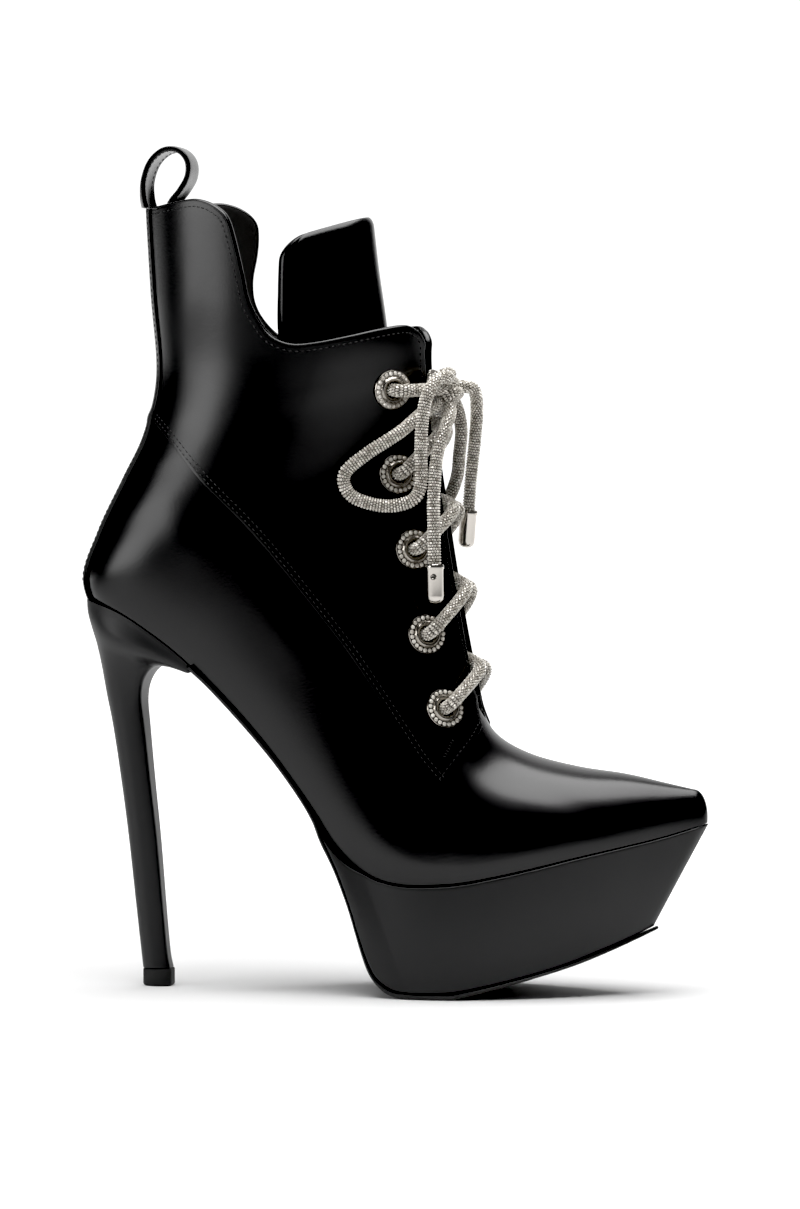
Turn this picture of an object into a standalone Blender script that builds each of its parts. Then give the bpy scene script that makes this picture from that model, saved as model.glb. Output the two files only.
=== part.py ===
# Platform stiletto bootie, a right shoe: toe along +X, inner side along +Y, standing on z = 0.
import math

import bmesh
import bpy
from mathutils import Matrix, Vector

for leftover in list(bpy.data.objects):
    bpy.data.objects.remove(leftover)

# Sizes are in millimetres: x from the back of the heel seat, y from the centre line, z from the floor
MM = 0.001
MID_X = 123.8
MID_Y = -0.2
LATERAL = -1
MEDIAL = 1
TOE_TIP = 248.2
NOSE_START = math.radians(25)
WALL = 1.8
QUARTER_RISE = 1.0
STRIP_RISE = 1.9
STRIP_WIDTH = 17.6
GAP = 0.3
SOLE_THICK = 2.0
INSOLE_THICK = 2.5
LACE_RADIUS = 2.6

shoe = bpy.data.collections.new("Platform stiletto bootie")
cutters = bpy.data.collections.new("Cutters")
for group in (shoe, cutters):
    bpy.context.scene.collection.children.link(group)


def surface(name, colour, roughness, metallic=0.0):
    """Plain material of one sub-part."""
    material = bpy.data.materials.new(name)
    material.use_nodes = True
    shader = material.node_tree.nodes["Principled BSDF"]
    shader.inputs["Base Color"].default_value = (*colour, 1.0)
    shader.inputs["Roughness"].default_value = roughness
    shader.inputs["Metallic"].default_value = metallic
    return material


def place_object(name, data, material):
    """Puts finished data in the shoe, or among the cutters when it has no material."""
    thing = bpy.data.objects.new(name, data)
    if material:
        data.materials.append(material)
        shoe.objects.link(thing)
    else:
        cutters.objects.link(thing)
        thing.hide_render = True
        thing.display_type = "WIRE"
    return thing


def to_frame(point):
    """A point in millimetres from the heel, in metres from the middle of the footprint."""
    return Vector(((point[0] - MID_X) * MM, (point[1] - MID_Y) * MM, point[2] * MM))


def close_mesh(name, bm, material):
    """Turns every face outward and makes the object."""
    bmesh.ops.recalc_face_normals(bm, faces=bm.faces)
    mesh = bpy.data.meshes.new(name)
    bm.to_mesh(mesh)
    bm.free()
    return place_object(name, mesh, material)


def loft(name, rings, material=None):
    """Closed body through rings of points, flat at both ends."""
    bm = bmesh.new()
    rows = [[bm.verts.new(to_frame(point)) for point in ring] for ring in rings]
    count = len(rows[0])
    for row, following in zip(rows, rows[1:]):
        for i in range(count):
            j = (i + 1) % count
            bm.faces.new((row[i], row[j], following[j], following[i]))
    bm.faces.new(rows[0])
    bm.faces.new(rows[-1])
    return close_mesh(name, bm, material)


def slab(name, levels, material):
    """Closed body through levels, each a run of (x, z, lateral half-width, medial half-width)."""
    bm = bmesh.new()
    sides = []
    for level in levels:
        lateral = [bm.verts.new(to_frame((x, -out, z))) for x, z, out, _ in level]
        medial = [bm.verts.new(to_frame((x, out, z))) for x, z, _, out in level]
        sides.append(lateral + medial[::-1])
    count = len(sides[0])
    half = count // 2
    for low, high in zip(sides, sides[1:]):
        for i in range(count):
            j = (i + 1) % count
            bm.faces.new((low[i], low[j], high[j], high[i]))
    for cap in (sides[0], sides[-1]):
        for i in range(half - 1):
            bm.faces.new((cap[i], cap[i + 1], cap[count - 2 - i], cap[count - 1 - i]))
    return close_mesh(name, bm, material)


def sweep_face(name, corners, travel):
    """Cutter made by drawing a flat outline along a straight line."""
    bm = bmesh.new()
    face = bm.faces.new([bm.verts.new(to_frame(corner)) for corner in corners])
    grown = bmesh.ops.extrude_face_region(bm, geom=[face])
    moved = [item for item in grown["geom"] if isinstance(item, bmesh.types.BMVert)]
    bmesh.ops.translate(bm, verts=moved, vec=Vector(travel) * MM)
    return close_mesh(name, bm, None)


def prism(name, outline, low_y, high_y):
    """Cutter with an outline drawn in the side view."""
    return sweep_face(name, [(x, low_y, z) for x, z in outline], (0, high_y - low_y, 0))


def combine(target, other, operation):
    """Live Boolean of one body with another."""
    step = target.modifiers.new(operation.title() + " " + other.name, "BOOLEAN")
    step.operation = operation
    step.solver = "EXACT"
    step.object = other


def smooth(rows, column, at):
    """Smooth value of a column where the first column of the rows passes a place."""
    final = len(rows) - 1
    at = min(max(at, rows[0][0]), rows[-1][0])
    low = 0
    while low < final - 1 and at > rows[low + 1][0]:
        low += 1
    span = rows[low + 1][0] - rows[low][0]
    part = (at - rows[low][0]) / span
    slopes = []
    for here in (low, low + 1):
        before = rows[max(here - 1, 0)]
        after = rows[min(here + 1, final)]
        slopes.append((after[column] - before[column]) / (after[0] - before[0]))
    start = rows[low][column]
    change = rows[low + 1][column] - start
    bend_in = slopes[0] * span - change
    bend_out = change - slopes[1] * span
    return start + part * change + part * (1 - part) * ((1 - part) * bend_in + part * bend_out)


def through(points, steps):
    """Smooth line through points, with some steps from each point to the next."""
    rows = [(i, *point) for i, point in enumerate(points)]
    count = (len(points) - 1) * steps
    width = len(points[0])
    return [tuple(smooth(rows, c + 1, i / steps) for c in range(width)) for i in range(count + 1)]


# Sections of the last, from toe to collar, each on a line from the sole or back to the ridge or front
# place, back x, back z, front x, front z, lateral, medial, belly along the line, back power, front power
SECTIONS = (
    (1, 243.0, 59.5, 243.0, 81.0, 5.6, 5.6, 0.45, 0.65, 1.00),
    (2, 232.0, 56.0, 232.0, 83.4, 11.3, 10.8, 0.42, 0.60, 1.00),
    (3, 216.0, 50.5, 216.0, 86.9, 19.5, 18.6, 0.38, 0.55, 1.02),
    (4, 197.0, 45.8, 197.0, 89.6, 27.5, 26.8, 0.34, 0.50, 1.06),
    (5, 178.0, 41.0, 178.0, 94.4, 33.6, 33.2, 0.30, 0.50, 1.10),
    (6, 160.0, 37.5, 164.5, 102.0, 37.4, 37.4, 0.26, 0.48, 1.14),
    (7, 142.0, 36.0, 158.5, 112.5, 38.4, 37.8, 0.24, 0.46, 1.17),
    (8, 124.0, 38.0, 156.0, 124.5, 36.8, 35.2, 0.24, 0.46, 1.20),
    (9, 106.0, 48.5, 153.9, 139.0, 34.0, 32.0, 0.26, 0.46, 1.20),
    (10, 87.0, 72.0, 151.6, 155.0, 31.5, 29.8, 0.29, 0.46, 1.20),
    (11, 65.0, 99.0, 149.2, 172.0, 30.2, 28.8, 0.33, 0.48, 1.20),
    (12, 41.0, 122.0, 147.0, 189.0, 29.6, 28.6, 0.38, 0.52, 1.22),
    (13, 13.5, 141.5, 144.9, 205.0, 29.5, 29.0, 0.44, 0.60, 1.25),
    (14, 0.9, 160.0, 143.0, 219.0, 29.5, 29.4, 0.49, 0.70, 1.28),
    (15, 6.4, 180.5, 141.6, 231.0, 29.5, 29.5, 0.53, 0.80, 1.31),
    (16, 16.3, 201.6, 140.6, 241.5, 29.7, 29.7, 0.57, 0.90, 1.34),
    (17, 24.8, 219.6, 140.1, 250.0, 30.6, 30.6, 0.60, 0.97, 1.37),
    (18, 30.1, 243.0, 140.0, 258.0, 32.0, 32.0, 0.62, 1.00, 1.40),
    (19, 27.9, 276.0, 140.0, 266.0, 33.5, 33.5, 0.62, 1.00, 1.40),
    (20, 25.9, 312.0, 140.0, 276.0, 34.5, 34.5, 0.62, 1.00, 1.40),
    (21, 25.6, 330.0, 140.0, 288.0, 34.8, 34.8, 0.62, 1.00, 1.40),
)
TOP_PLACE = SECTIONS[-1][0]

# Lower edge of the upper in the side view: x, z
FEATHER = (
    (-12.0, 158.0), (0.0, 155.2), (8.4, 152.9), (17.1, 149.6), (25.8, 144.7), (39.6, 134.8), (54.4, 121.4),
    (67.8, 107.4), (82.8, 90.0), (92.0, 77.4), (100.0, 65.0), (110.5, 53.3), (119.5, 47.6), (130.0, 45.0),
    (142.0, 44.8), (155.0, 45.9), (170.0, 48.8), (185.0, 52.2), (200.0, 55.9), (217.0, 59.7),
    (232.0, 63.2), (247.0, 67.6), (262.0, 72.0),
)


def feather_z(x):
    """Height of the upper's lower edge."""
    return smooth(FEATHER, 1, x)


def section(place):
    """Back point, front point, half-widths, belly and powers of the last's section."""
    row = [smooth(SECTIONS, column, max(place, 1)) for column in range(1, 10)]
    if place < 1:
        angle = NOSE_START + (1 - place) * (math.pi / 2 - NOSE_START)
        reach = (math.sin(angle) - math.sin(NOSE_START)) / (1 - math.sin(NOSE_START))
        squash = math.sqrt(max(0, 1 - reach * reach))
        middle = (row[1] + row[3]) / 2
        tip = row[0] + (TOE_TIP - row[0]) * reach
        narrow = math.cos(angle) / math.cos(NOSE_START)
        row[0:4] = [tip, middle + (row[1] - middle) * squash, tip, middle + (row[3] - middle) * squash]
        row[4:6] = [row[4] * narrow, row[5] * narrow]
    return row


def last_point(place, turn, side):
    """Point of the last, turned from the back or sole at 0 to the front or ridge at pi."""
    back_x, back_z, front_x, front_z, lateral, medial, belly, back_power, front_power = section(place)
    if turn < math.pi / 2:
        share = belly * (1 - math.cos(turn))
        power = back_power
    else:
        share = belly - (1 - belly) * math.cos(turn)
        power = front_power
    wide = lateral if side == LATERAL else medial
    out = side * wide * max(0, math.sin(turn)) ** power
    return Vector((back_x + (front_x - back_x) * share, out, back_z + (front_z - back_z) * share))


def outward(place, turn, side):
    """Direction square to the last, pointing out of the foot."""
    near_turn = min(max(turn, 0.06), math.pi - 0.06)
    near_place = min(max(place, 0.05), TOP_PLACE - 0.05)
    step = 0.03
    along = last_point(near_place + step, near_turn, side) - last_point(near_place - step, near_turn, side)
    around = last_point(near_place, near_turn + step, side) - last_point(near_place, near_turn - step, side)
    square = along.cross(around) * side
    if turn < 0.01 or turn > math.pi - 0.01:
        square.y = 0
    return square.normalized()


def shell_point(place, turn, side, rise):
    """Point of the upper, raised from the last."""
    return last_point(place, turn, side) + outward(place, turn, side) * rise


def find_on_side(x, z):
    """Place and turn of the point that the side view shows at x, z."""
    low = 0.0
    high = float(TOP_PLACE)
    for _ in range(40):
        place = (low + high) / 2
        back_x, back_z, front_x, front_z = section(place)[0:4]
        if (front_x - back_x) * (z - back_z) >= (front_z - back_z) * (x - back_x):
            low = place
        else:
            high = place
    run = (front_x - back_x, front_z - back_z)
    share = ((x - back_x) * run[0] + (z - back_z) * run[1]) / (run[0] ** 2 + run[1] ** 2)
    belly = section(place)[6]
    share = min(max(share, 0), 1)
    if share < belly:
        return place, math.acos(1 - share / belly)
    return place, math.acos((belly - share) / (1 - belly))


def edge_width(x, side):
    """Half-width of the upper along its lower edge."""
    place, turn = find_on_side(x, feather_z(x))
    return abs(last_point(place, turn, side).y)


AROUND = 16
PLACES = [0.06, 0.3, 0.62, 1, 1.5, 2.2, 3, 4, 5, 5.6, 6.2, 6.8, 7.4, 8, 8.6, 9.2, 9.8, 10.5, 11.2, 11.9,
          12.6, 13.3, 14, 14.6, 15.2, 15.8, 16.4, 17, 17.6, 18.2, 19, 20, 20.7]
INNER_AROUND = 12
INNER_PLACES = [0.3, 0.62, 1, 2, 3, 4, 5, 6, 7, 8, 9, 10, 11, 12, 13, 14, 15, 16, 17, 18, 19, TOP_PLACE]


def last_form(name, rise, places=PLACES, around=AROUND, material=None):
    """Closed body of the last, grown or shrunk all round."""
    rings = []
    for place in places:
        turns = [math.pi * i / around for i in range(around + 1)]
        ring = [shell_point(place, turn, LATERAL, rise) for turn in turns]
        ring += [shell_point(place, turn, MEDIAL, rise) for turn in turns[-2:0:-1]]
        rings.append(ring)
    return loft(name, rings, material)


# Upper: vamp and counter, with the quarter and the back strip as steps in its wall
LEATHER = surface("black leather", (0.012, 0.012, 0.013), 0.32)
SEAM = ((10.0, 241.0), (32.4, 222.6), (51.2, 202.3), (71.1, 182.8), (90.9, 159.4), (110.7, 134.1),
        (130.5, 105.0), (138.4, 93.4), (147.4, 83.3))
QUARTER_FRONT = ((147.4, 83.3), (153.1, 91.6), (158.6, 101.0), (160.2, 110.0), (163.0, 125.0))
COLLAR = ((-5.0, 308.8), (20.0, 309.0), (31.8, 309.2), (46.1, 311.4), (52.8, 310.8), (58.5, 308.1),
          (62.6, 303.7), (65.8, 293.2), (68.4, 281.9), (70.6, 272.2), (74.7, 264.4), (80.0, 258.1),
          (88.0, 255.0), (97.7, 255.5), (111.1, 258.1), (122.5, 260.8), (130.8, 262.1))
# The inner side's notch is cut a little further back
MEDIAL_NOTCH = ((66.0, 316.0), (63.4, 306.0), (63.0, 299.2), (62.5, 291.2), (60.9, 281.2), (61.8, 272.2),
                (66.0, 264.4), (73.0, 258.1), (82.0, 254.6), (96.0, 256.5))
FLAP_CORNER = ((135.0, 259.6), (137.4, 254.6), (139.0, 246.0))
# Throat between the flaps, seen from the front: z, half-gap
THROAT = ((108.0, 0.0), (109.6, 2.6), (113.0, 4.6), (122.0, 6.6), (135.0, 7.1), (147.0, 7.1), (167.0, 6.9),
          (189.0, 6.7), (214.0, 6.7), (240.0, 7.6), (253.0, 8.9), (300.0, 9.2))
upper = last_form("upper", 0, material=LEATHER)

quarter = last_form("quarter form", QUARTER_RISE)
above_seam = through(SEAM, 3) + through(QUARTER_FRONT, 3)[1:] + [(190, 150), (190, 345), (10, 345)]
combine(quarter, prism("above the seam", above_seam, -70, 70), "INTERSECT")
combine(upper, quarter, "UNION")

strip = last_form("back strip form", STRIP_RISE)
behind = ((-20, 148), (42, 148), (42, 345), (-20, 345))
combine(strip, prism("behind the ankle", behind, -STRIP_WIDTH / 2, STRIP_WIDTH / 2), "INTERSECT")
combine(upper, strip, "UNION")

inside = last_form("inside of the upper", -WALL, INNER_PLACES, INNER_AROUND)
combine(upper, inside, "DIFFERENCE")
rim = through(COLLAR + FLAP_CORNER, 3) + [(160, 246), (160, 345), (-5, 345)]
combine(upper, prism("collar opening", rim, -70, 70), "DIFFERENCE")
notch = through(MEDIAL_NOTCH, 3) + [(96, 316)]
combine(upper, prism("inner notch", notch, 14, 70), "DIFFERENCE")
slot = [(112, y, z) for z, y in THROAT] + [(112, -y, z) for z, y in THROAT[:0:-1]]
combine(upper, sweep_face("throat", slot, (70, 0, 0)), "DIFFERENCE")

feather_run = [(x, feather_z(x)) for x in range(-12, 263, 5)]
combine(upper, prism("under the upper", feather_run + [(263, -20), (-12, -20)], -70, 70), "DIFFERENCE")

# Insole inside the lower edge of the upper
SOCK = surface("insole leather", (0.03, 0.028, 0.026), 0.6)
insole = last_form("insole", -WALL - GAP, INNER_PLACES, INNER_AROUND, SOCK)
raised = [(x, feather_z(x) + INSOLE_THICK) for x in range(262, -13, -5)]
combine(insole, prism("insole band", feather_run + raised, -70, 70), "INTERSECT")

# Platform under the forefoot, wrapped in leather
WRAP = surface("wrapped leather", (0.016, 0.016, 0.017), 0.5)
PLATFORM_TOP = (98.2, 248.6)
PLATFORM_SOLE = (
    # share of the length, x, z, lateral, medial
    (0.00, 122.5, 7.0, 30.5, 28.0), (0.04, 125.0, 3.8, 31.5, 29.4), (0.10, 131.0, 2.3, 33.0, 31.5),
    (0.20, 142.0, 2.3, 34.2, 33.6), (0.30, 152.0, 2.9, 33.8, 33.6), (0.42, 165.0, 5.4, 31.2, 31.0),
    (0.55, 180.0, 9.0, 26.4, 26.0), (0.68, 194.5, 13.3, 20.4, 20.0), (0.80, 207.5, 18.3, 13.8, 13.4),
    (0.90, 218.0, 22.7, 8.0, 7.8), (0.97, 225.0, 26.0, 3.4, 3.4), (1.00, 227.0, 27.0, 0.8, 0.8),
)
PLATFORM_SHARES = (0, 0.03, 0.06, 0.09, 0.12, 0.16, 0.2, 0.26, 0.33, 0.4, 0.48, 0.56, 0.64, 0.72, 0.8, 0.87,
                   0.93, 0.97, 1)
PLATFORM_EDGE = 1.0
REAR_HOLLOW = 3.0


def platform_level(rise):
    """Outline of the platform at a share of its height."""
    level = []
    for share in PLATFORM_SHARES:
        low_x, low_z, low_lateral, low_medial = (smooth(PLATFORM_SOLE, c, share) for c in range(1, 5))
        top_x = PLATFORM_TOP[0] + share * (PLATFORM_TOP[1] - PLATFORM_TOP[0])
        top_z = feather_z(top_x) - GAP - 0.1
        bow = REAR_HOLLOW * 4 * rise * (1 - rise) * max(0, 1 - share / 0.12)
        x = low_x + (top_x - low_x) * rise + bow
        z = low_z + (top_z - low_z) * rise
        widths = []
        for side, low in ((LATERAL, low_lateral), (MEDIAL, low_medial)):
            top = max(edge_width(top_x, side) + PLATFORM_EDGE, 1.2)
            widths.append(low + (top - low) * rise + 1.2 * math.sin(math.pi * rise))
        level.append((x, z, *widths))
    return level


slab("platform", [platform_level(rise) for rise in (0, 0.05, 0.3, 0.6, 0.94, 1)], WRAP)

# Outsole: one sheet along the arch, down the platform's rear face and under the platform to the toe
OUTSOLE = (
    # x, z of the face that is glued on, lateral, medial
    (46.4, 128.5, 24.6, 24.6), (54.4, 121.1, 24.6, 24.0), (67.8, 107.1, 25.4, 24.2),
    (80.0, 93.2, 26.4, 25.0), (90.0, 79.9, 27.3, 25.6), (96.2, 69.9, 28.0, 26.0),
    (99.6, 61.4, 28.6, 26.4), (105.2, 50.0, 29.4, 27.0), (110.6, 36.0, 30.2, 27.6),
    (114.6, 23.0, 30.8, 28.2), (118.4, 12.4, 31.2, 28.6), (122.0, 5.4, 31.6, 29.2),
    (126.2, 2.0, 32.4, 30.6), (134.0, 2.0, 33.8, 32.4), (142.0, 2.0, 34.4, 33.8),
    (150.0, 2.0, 34.2, 34.0), (158.0, 3.5, 33.0, 32.8), (170.0, 6.3, 30.0, 29.8),
    (184.0, 9.9, 25.2, 24.8), (198.0, 14.2, 19.2, 18.8), (210.0, 18.9, 12.9, 12.5),
    (220.0, 23.3, 7.3, 7.1), (226.4, 26.3, 3.2, 3.2), (228.4, 27.3, 0.9, 0.9),
)
SHEET = surface("outsole sheet", (0.01, 0.01, 0.01), 0.45)
glued = [(x, z - 0.2, lateral, medial) for x, z, lateral, medial in OUTSOLE]
walked = []
for i, (x, z, lateral, medial) in enumerate(glued):
    before = glued[max(i - 1, 0)]
    after = glued[min(i + 1, len(glued) - 1)]
    slope = Vector((after[0] - before[0], after[1] - before[1])).normalized()
    walked.append((x + slope.y * SOLE_THICK, max(z - slope.x * SOLE_THICK, 0), lateral, medial))
for i in range(12, 16):
    walked[i] = (glued[i][0], 0, glued[i][2], glued[i][3])
slab("outsole", [walked, glued], SHEET)

# Heel: cupped seat under the heel of the upper, running down to a slim stem
HEEL = (
    # back x, back z, breast x, breast z, half-width, share taken from the upper's edge
    (0.5, 154.6, 44.0, 130.6, 25.0, 1.00), (0.9, 150.5, 43.6, 127.6, 24.0, 0.92),
    (2.1, 144.5, 35.5, 128.3, 20.0, 0.35), (3.9, 136.8, 29.0, 127.8, 15.8, 0.0),
    (5.7, 128.5, 24.6, 122.8, 12.6, 0.0), (7.9, 116.0, 23.1, 115.0, 10.2, 0.0),
    (10.4, 103.0, 24.2, 103.0, 8.6, 0.0), (13.8, 80.0, 26.5, 80.0, 7.2, 0.0),
    (16.6, 58.0, 28.8, 58.0, 6.3, 0.0), (19.3, 33.0, 30.9, 33.0, 5.6, 0.0),
    (21.4, 14.0, 32.6, 14.0, 5.3, 0.0), (22.2, 7.2, 33.8, 7.2, 5.4, 0.0),
)
ROUND = (0.004, 0.03, 0.09, 0.18, 0.3, 0.45, 0.62, 0.8, 0.93, 1.0)


def round_back(share):
    """Width of a D outline from its round back to its flat breast."""
    if share < 0.55:
        return math.sqrt(1 - (1 - share / 0.55) ** 2)
    return 1 - 0.25 * ((share - 0.55) / 0.45) ** 3


heel_levels = []
for back_x, back_z, breast_x, breast_z, wide, seat_share in HEEL:
    level = []
    for share in ROUND:
        x = back_x + (breast_x - back_x) * share
        flat_z = back_z + (breast_z - back_z) * share
        seat_z = feather_z(x) - GAP - (154.9 - back_z)
        z = flat_z + (seat_z - flat_z) * seat_share ** 3
        plain = wide * round_back(share)
        seat_x = x + STRIP_RISE * max(0, 1 - x / 40)
        seat = [edge_width(seat_x, side) for side in (LATERAL, MEDIAL)]
        level.append((x, z, *(plain + (width - plain) * seat_share for width in seat)))
    heel_levels.append(level)
slab("heel", heel_levels, WRAP)

# Lift under the heel
LIFT = ((0.0, 22.9, 33.7, 4.9), (0.7, 22.3, 34.3, 5.5), (6.9, 22.2, 34.3, 5.5))
lift_levels = []
for z, back_x, front_x, wide in LIFT:
    level = []
    for share in ROUND:
        out = wide * round_back(share)
        level.append((back_x + (front_x - back_x) * share, z, out, out))
    lift_levels.append(level)
slab("heel_lift", lift_levels, surface("heel lift rubber", (0.01, 0.01, 0.01), 0.6))

# Tongue: padded plate that is fixed under the throat and stands up inside the flaps
TONGUE = (
    # front x, front z, drop and depth to the edges, half-width, thickness
    (114.6, 306.4, 10.0, 31.0, 24.0, 3.0), (115.3, 303.6, 10.0, 33.0, 25.0, 5.4),
    (117.5, 285.0, 8.0, 36.0, 25.5, 6.0), (120.8, 262.0, 6.0, 39.0, 25.0, 6.0),
    (123.0, 238.0, 5.0, 36.0, 21.5, 6.0), (124.0, 212.0, 5.0, 31.0, 17.5, 6.0),
    (126.5, 186.0, 7.0, 28.0, 16.5, 5.5), (130.0, 160.0, 10.0, 25.0, 15.5, 5.0),
    (134.5, 136.0, 12.0, 21.0, 15.0, 5.0), (139.0, 122.0, 13.0, 17.0, 14.5, 4.5),
    (144.5, 111.5, 13.0, 13.0, 14.0, 4.0), (150.5, 104.0, 12.0, 9.0, 13.5, 4.0),
    (158.0, 100.0, 10.0, 5.0, 13.0, 3.5), (166.0, 97.8, 8.0, 2.0, 12.0, 3.0),
)
TONGUE_ARC = math.radians(80)
TONGUE_STEPS = 10


def tongue_ring(i):
    """Outline of the padded plate on one of its rows."""
    front_x, front_z, drop, depth, wide, thick = TONGUE[i]
    above = TONGUE[max(i - 1, 0)]
    below = TONGUE[min(i + 1, len(TONGUE) - 1)]
    up = Vector((above[0] - below[0], 0, above[1] - below[1])).normalized()
    outer = []
    inner = []
    for step in range(-TONGUE_STEPS, TONGUE_STEPS + 1, 2):
        share = step / TONGUE_STEPS
        angle = share * TONGUE_ARC
        back = (1 - math.cos(angle)) / (1 - math.cos(TONGUE_ARC))
        point = Vector((front_x - depth * back, wide * math.sin(angle) / math.sin(TONGUE_ARC),
                        front_z - drop * back))
        across = Vector((-depth * math.sin(angle) / (1 - math.cos(TONGUE_ARC)),
                         wide * math.cos(angle) / math.sin(TONGUE_ARC), 0))
        inward = up.cross(across).normalized()
        outer.append(point)
        inner.append(point + inward * thick * max(0.25, math.sqrt(1 - share ** 6)))
    return outer + inner[::-1]


tongue_rings = [tongue_ring(i) for i in range(len(TONGUE))]
loft("tongue", tongue_rings, surface("tongue leather", (0.014, 0.014, 0.015), 0.4))

# Pull loop: a strap folded over at the back of the collar, its front leg sewn inside
LOOP_WIDTH = 17.6
LOOP_THICK = 2.2
# Middle of the strap: x, z, and how far its edges curl forward round the collar
LOOP = ((25.5, 309.9, 2.4), (25.1, 314.0, 1.8), (25.5, 320.0, 1.0), (28.0, 326.5, 0.4), (32.5, 330.9, 0.1),
        (37.5, 331.2, 0.0), (41.0, 328.2, 0.0), (41.8, 323.0, 0.2), (39.8, 317.6, 0.8), (36.2, 313.4, 1.6),
        (33.2, 309.6, 2.4), (31.3, 305.0, 2.7), (30.7, 299.0, 2.7), (30.8, 292.0, 2.7))
loop_rings = []
for i, (x, z, curl) in enumerate(LOOP):
    before = LOOP[max(i - 1, 0)]
    after = LOOP[min(i + 1, len(LOOP) - 1)]
    run = Vector((after[0] - before[0], after[1] - before[1])).normalized()
    out = Vector((-run.y, 0, run.x)) * LOOP_THICK / 2
    shares = (-1, -0.5, 0, 0.5, 1)
    across = [Vector((x + curl * share ** 2, LOOP_WIDTH / 2 * share, z)) for share in shares]
    loop_rings.append([point + out for point in across] + [point - out for point in across[::-1]])
loft("pull_loop", loop_rings, LEATHER)

# Eyelets: flanged metal rings through the flaps, counted from the top
METAL = surface("stone-set metal", (0.75, 0.73, 0.70), 0.25, 1.0)
EYELETS = ((125.4, 237.8), (127.6, 204.6), (134.0, 175.1), (139.3, 141.9), (147.0, 113.0))
SIDES = ((LATERAL, "lateral"), (MEDIAL, "medial"))
HOLE_RADIUS = 4.5
# Outline of the ring: radius, height above the last
EYELET = ((3.3, -2.5), (4.1, -2.5), (4.1, 1.4), (7.6, 1.4), (7.6, 2.4), (5.4, 3.1), (3.3, 2.7))
EYELET_STEPS = 12


def eyelet_frame(number, side):
    """Centre of an eyelet on the last, and the direction it faces."""
    place, turn = find_on_side(*EYELETS[number - 1])
    return last_point(place, turn, side), outward(place, turn, side)


def turned(centre, axis, profile, steps):
    """Rings of a turned outline about an axis."""
    across = axis.orthogonal().normalized()
    over = axis.cross(across)
    rings = []
    for step in range(steps):
        angle = 2 * math.pi * step / steps
        spoke = across * math.cos(angle) + over * math.sin(angle)
        rings.append([centre + spoke * radius + axis * height for radius, height in profile])
    return rings


def turned_ring(name, rings, material):
    """Closed ring through outlines set all round an axis."""
    bm = bmesh.new()
    rows = [[bm.verts.new(to_frame(point)) for point in ring] for ring in rings]
    for i, row in enumerate(rows):
        following = rows[(i + 1) % len(rows)]
        for j in range(len(row)):
            k = (j + 1) % len(row)
            bm.faces.new((row[j], row[k], following[k], following[j]))
    return close_mesh(name, bm, material)


holes = bmesh.new()
for side, side_name in SIDES:
    for number in range(1, len(EYELETS) + 1):
        centre, facing = eyelet_frame(number, side)
        rings = turned(centre, facing, EYELET, EYELET_STEPS)
        turned_ring("eyelet_%s_%d" % (side_name, number), rings, METAL)
        pose = Matrix.Translation(to_frame(centre)) @ facing.to_track_quat("Z", "Y").to_matrix().to_4x4()
        bmesh.ops.create_cone(holes, cap_ends=True, segments=EYELET_STEPS, radius1=HOLE_RADIUS * MM,
                              radius2=HOLE_RADIUS * MM, depth=14 * MM, matrix=pose)
combine(upper, close_mesh("eyelet holes", holes, None), "DIFFERENCE")

# Lace: one round cord covered in small stones, drawn out through each eyelet and under the opposite flap
STONES = surface("stone-covered cord", (0.80, 0.76, 0.70), 0.3, 0.6)
LACE_OVER = 6.2
LACE_UNDER = 6.3
BAR_UNDER = 3.9
LACE_SIDES = 6
# Front edge of the flaps: z, x
FLAP_EDGE = ((100.0, 160.4), (112.0, 158.2), (120.0, 155.8), (135.0, 152.8), (147.0, 150.6), (167.0, 147.2),
             (189.0, 143.7), (214.0, 139.7), (240.0, 136.9), (253.0, 136.4))


def tube(name, path, material=None):
    """Round cord along a path."""
    guide = Vector((0.2, 0.1, 1))
    rings = []
    for i, point in enumerate(path):
        run = (path[min(i + 1, len(path) - 1)] - path[max(i - 1, 0)]).normalized()
        across = run.cross(guide).normalized()
        guide = across.cross(run)
        turns = [2 * math.pi * step / LACE_SIDES for step in range(LACE_SIDES)]
        rings.append([point + (across * math.cos(t) + guide * math.sin(t)) * LACE_RADIUS for t in turns])
    return loft(name, rings, material)


def in_throat(z, y, ahead):
    """Point beside the flaps' front edges."""
    return Vector((smooth(FLAP_EDGE, 1, z) + ahead, y, z))


def leave_eyelet(number, side, target):
    """The cord's first two points outside an eyelet, on its way to a target."""
    centre, facing = eyelet_frame(number, side)
    start = centre + facing * LACE_OVER
    heading = target - start
    heading = (heading - facing * heading.dot(facing)).normalized()
    return [start, start + heading * 8]


def crossing(number, side):
    """Path of the cord from the outside of one eyelet to the inside of the next one up, opposite."""
    low = eyelet_frame(number + 1, side)[0]
    high, high_facing = eyelet_frame(number, -side)
    rise = high.z - low.z
    over = in_throat(low.z + 0.36 * rise, side * 9, 6.2)
    middle = in_throat(low.z + 0.52 * rise, 0, -0.9)
    under = in_throat(low.z + 0.68 * rise, -side * 8, -9.4)
    return leave_eyelet(number + 1, side, over) + [over, middle, under, high - high_facing * LACE_UNDER]


def smooth_path(points, steps):
    """Smooth path through points in space."""
    return [Vector(point) for point in through([tuple(point) for point in points], steps)]


for number in range(1, len(EYELETS)):
    strand = tube("lace_cross_%d" % number, smooth_path(crossing(number, LATERAL), 2), STONES)
    combine(strand, tube("other strand %d" % number, smooth_path(crossing(number, MEDIAL), 2)), "UNION")
ends = []
for side, _ in SIDES:
    centre, facing = eyelet_frame(len(EYELETS), side)
    ends.append(centre - facing * BAR_UNDER)
tube("lace_bar", smooth_path([ends[0], (151.0, 0.0, 111.5), ends[1]], 4), STONES)

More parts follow.
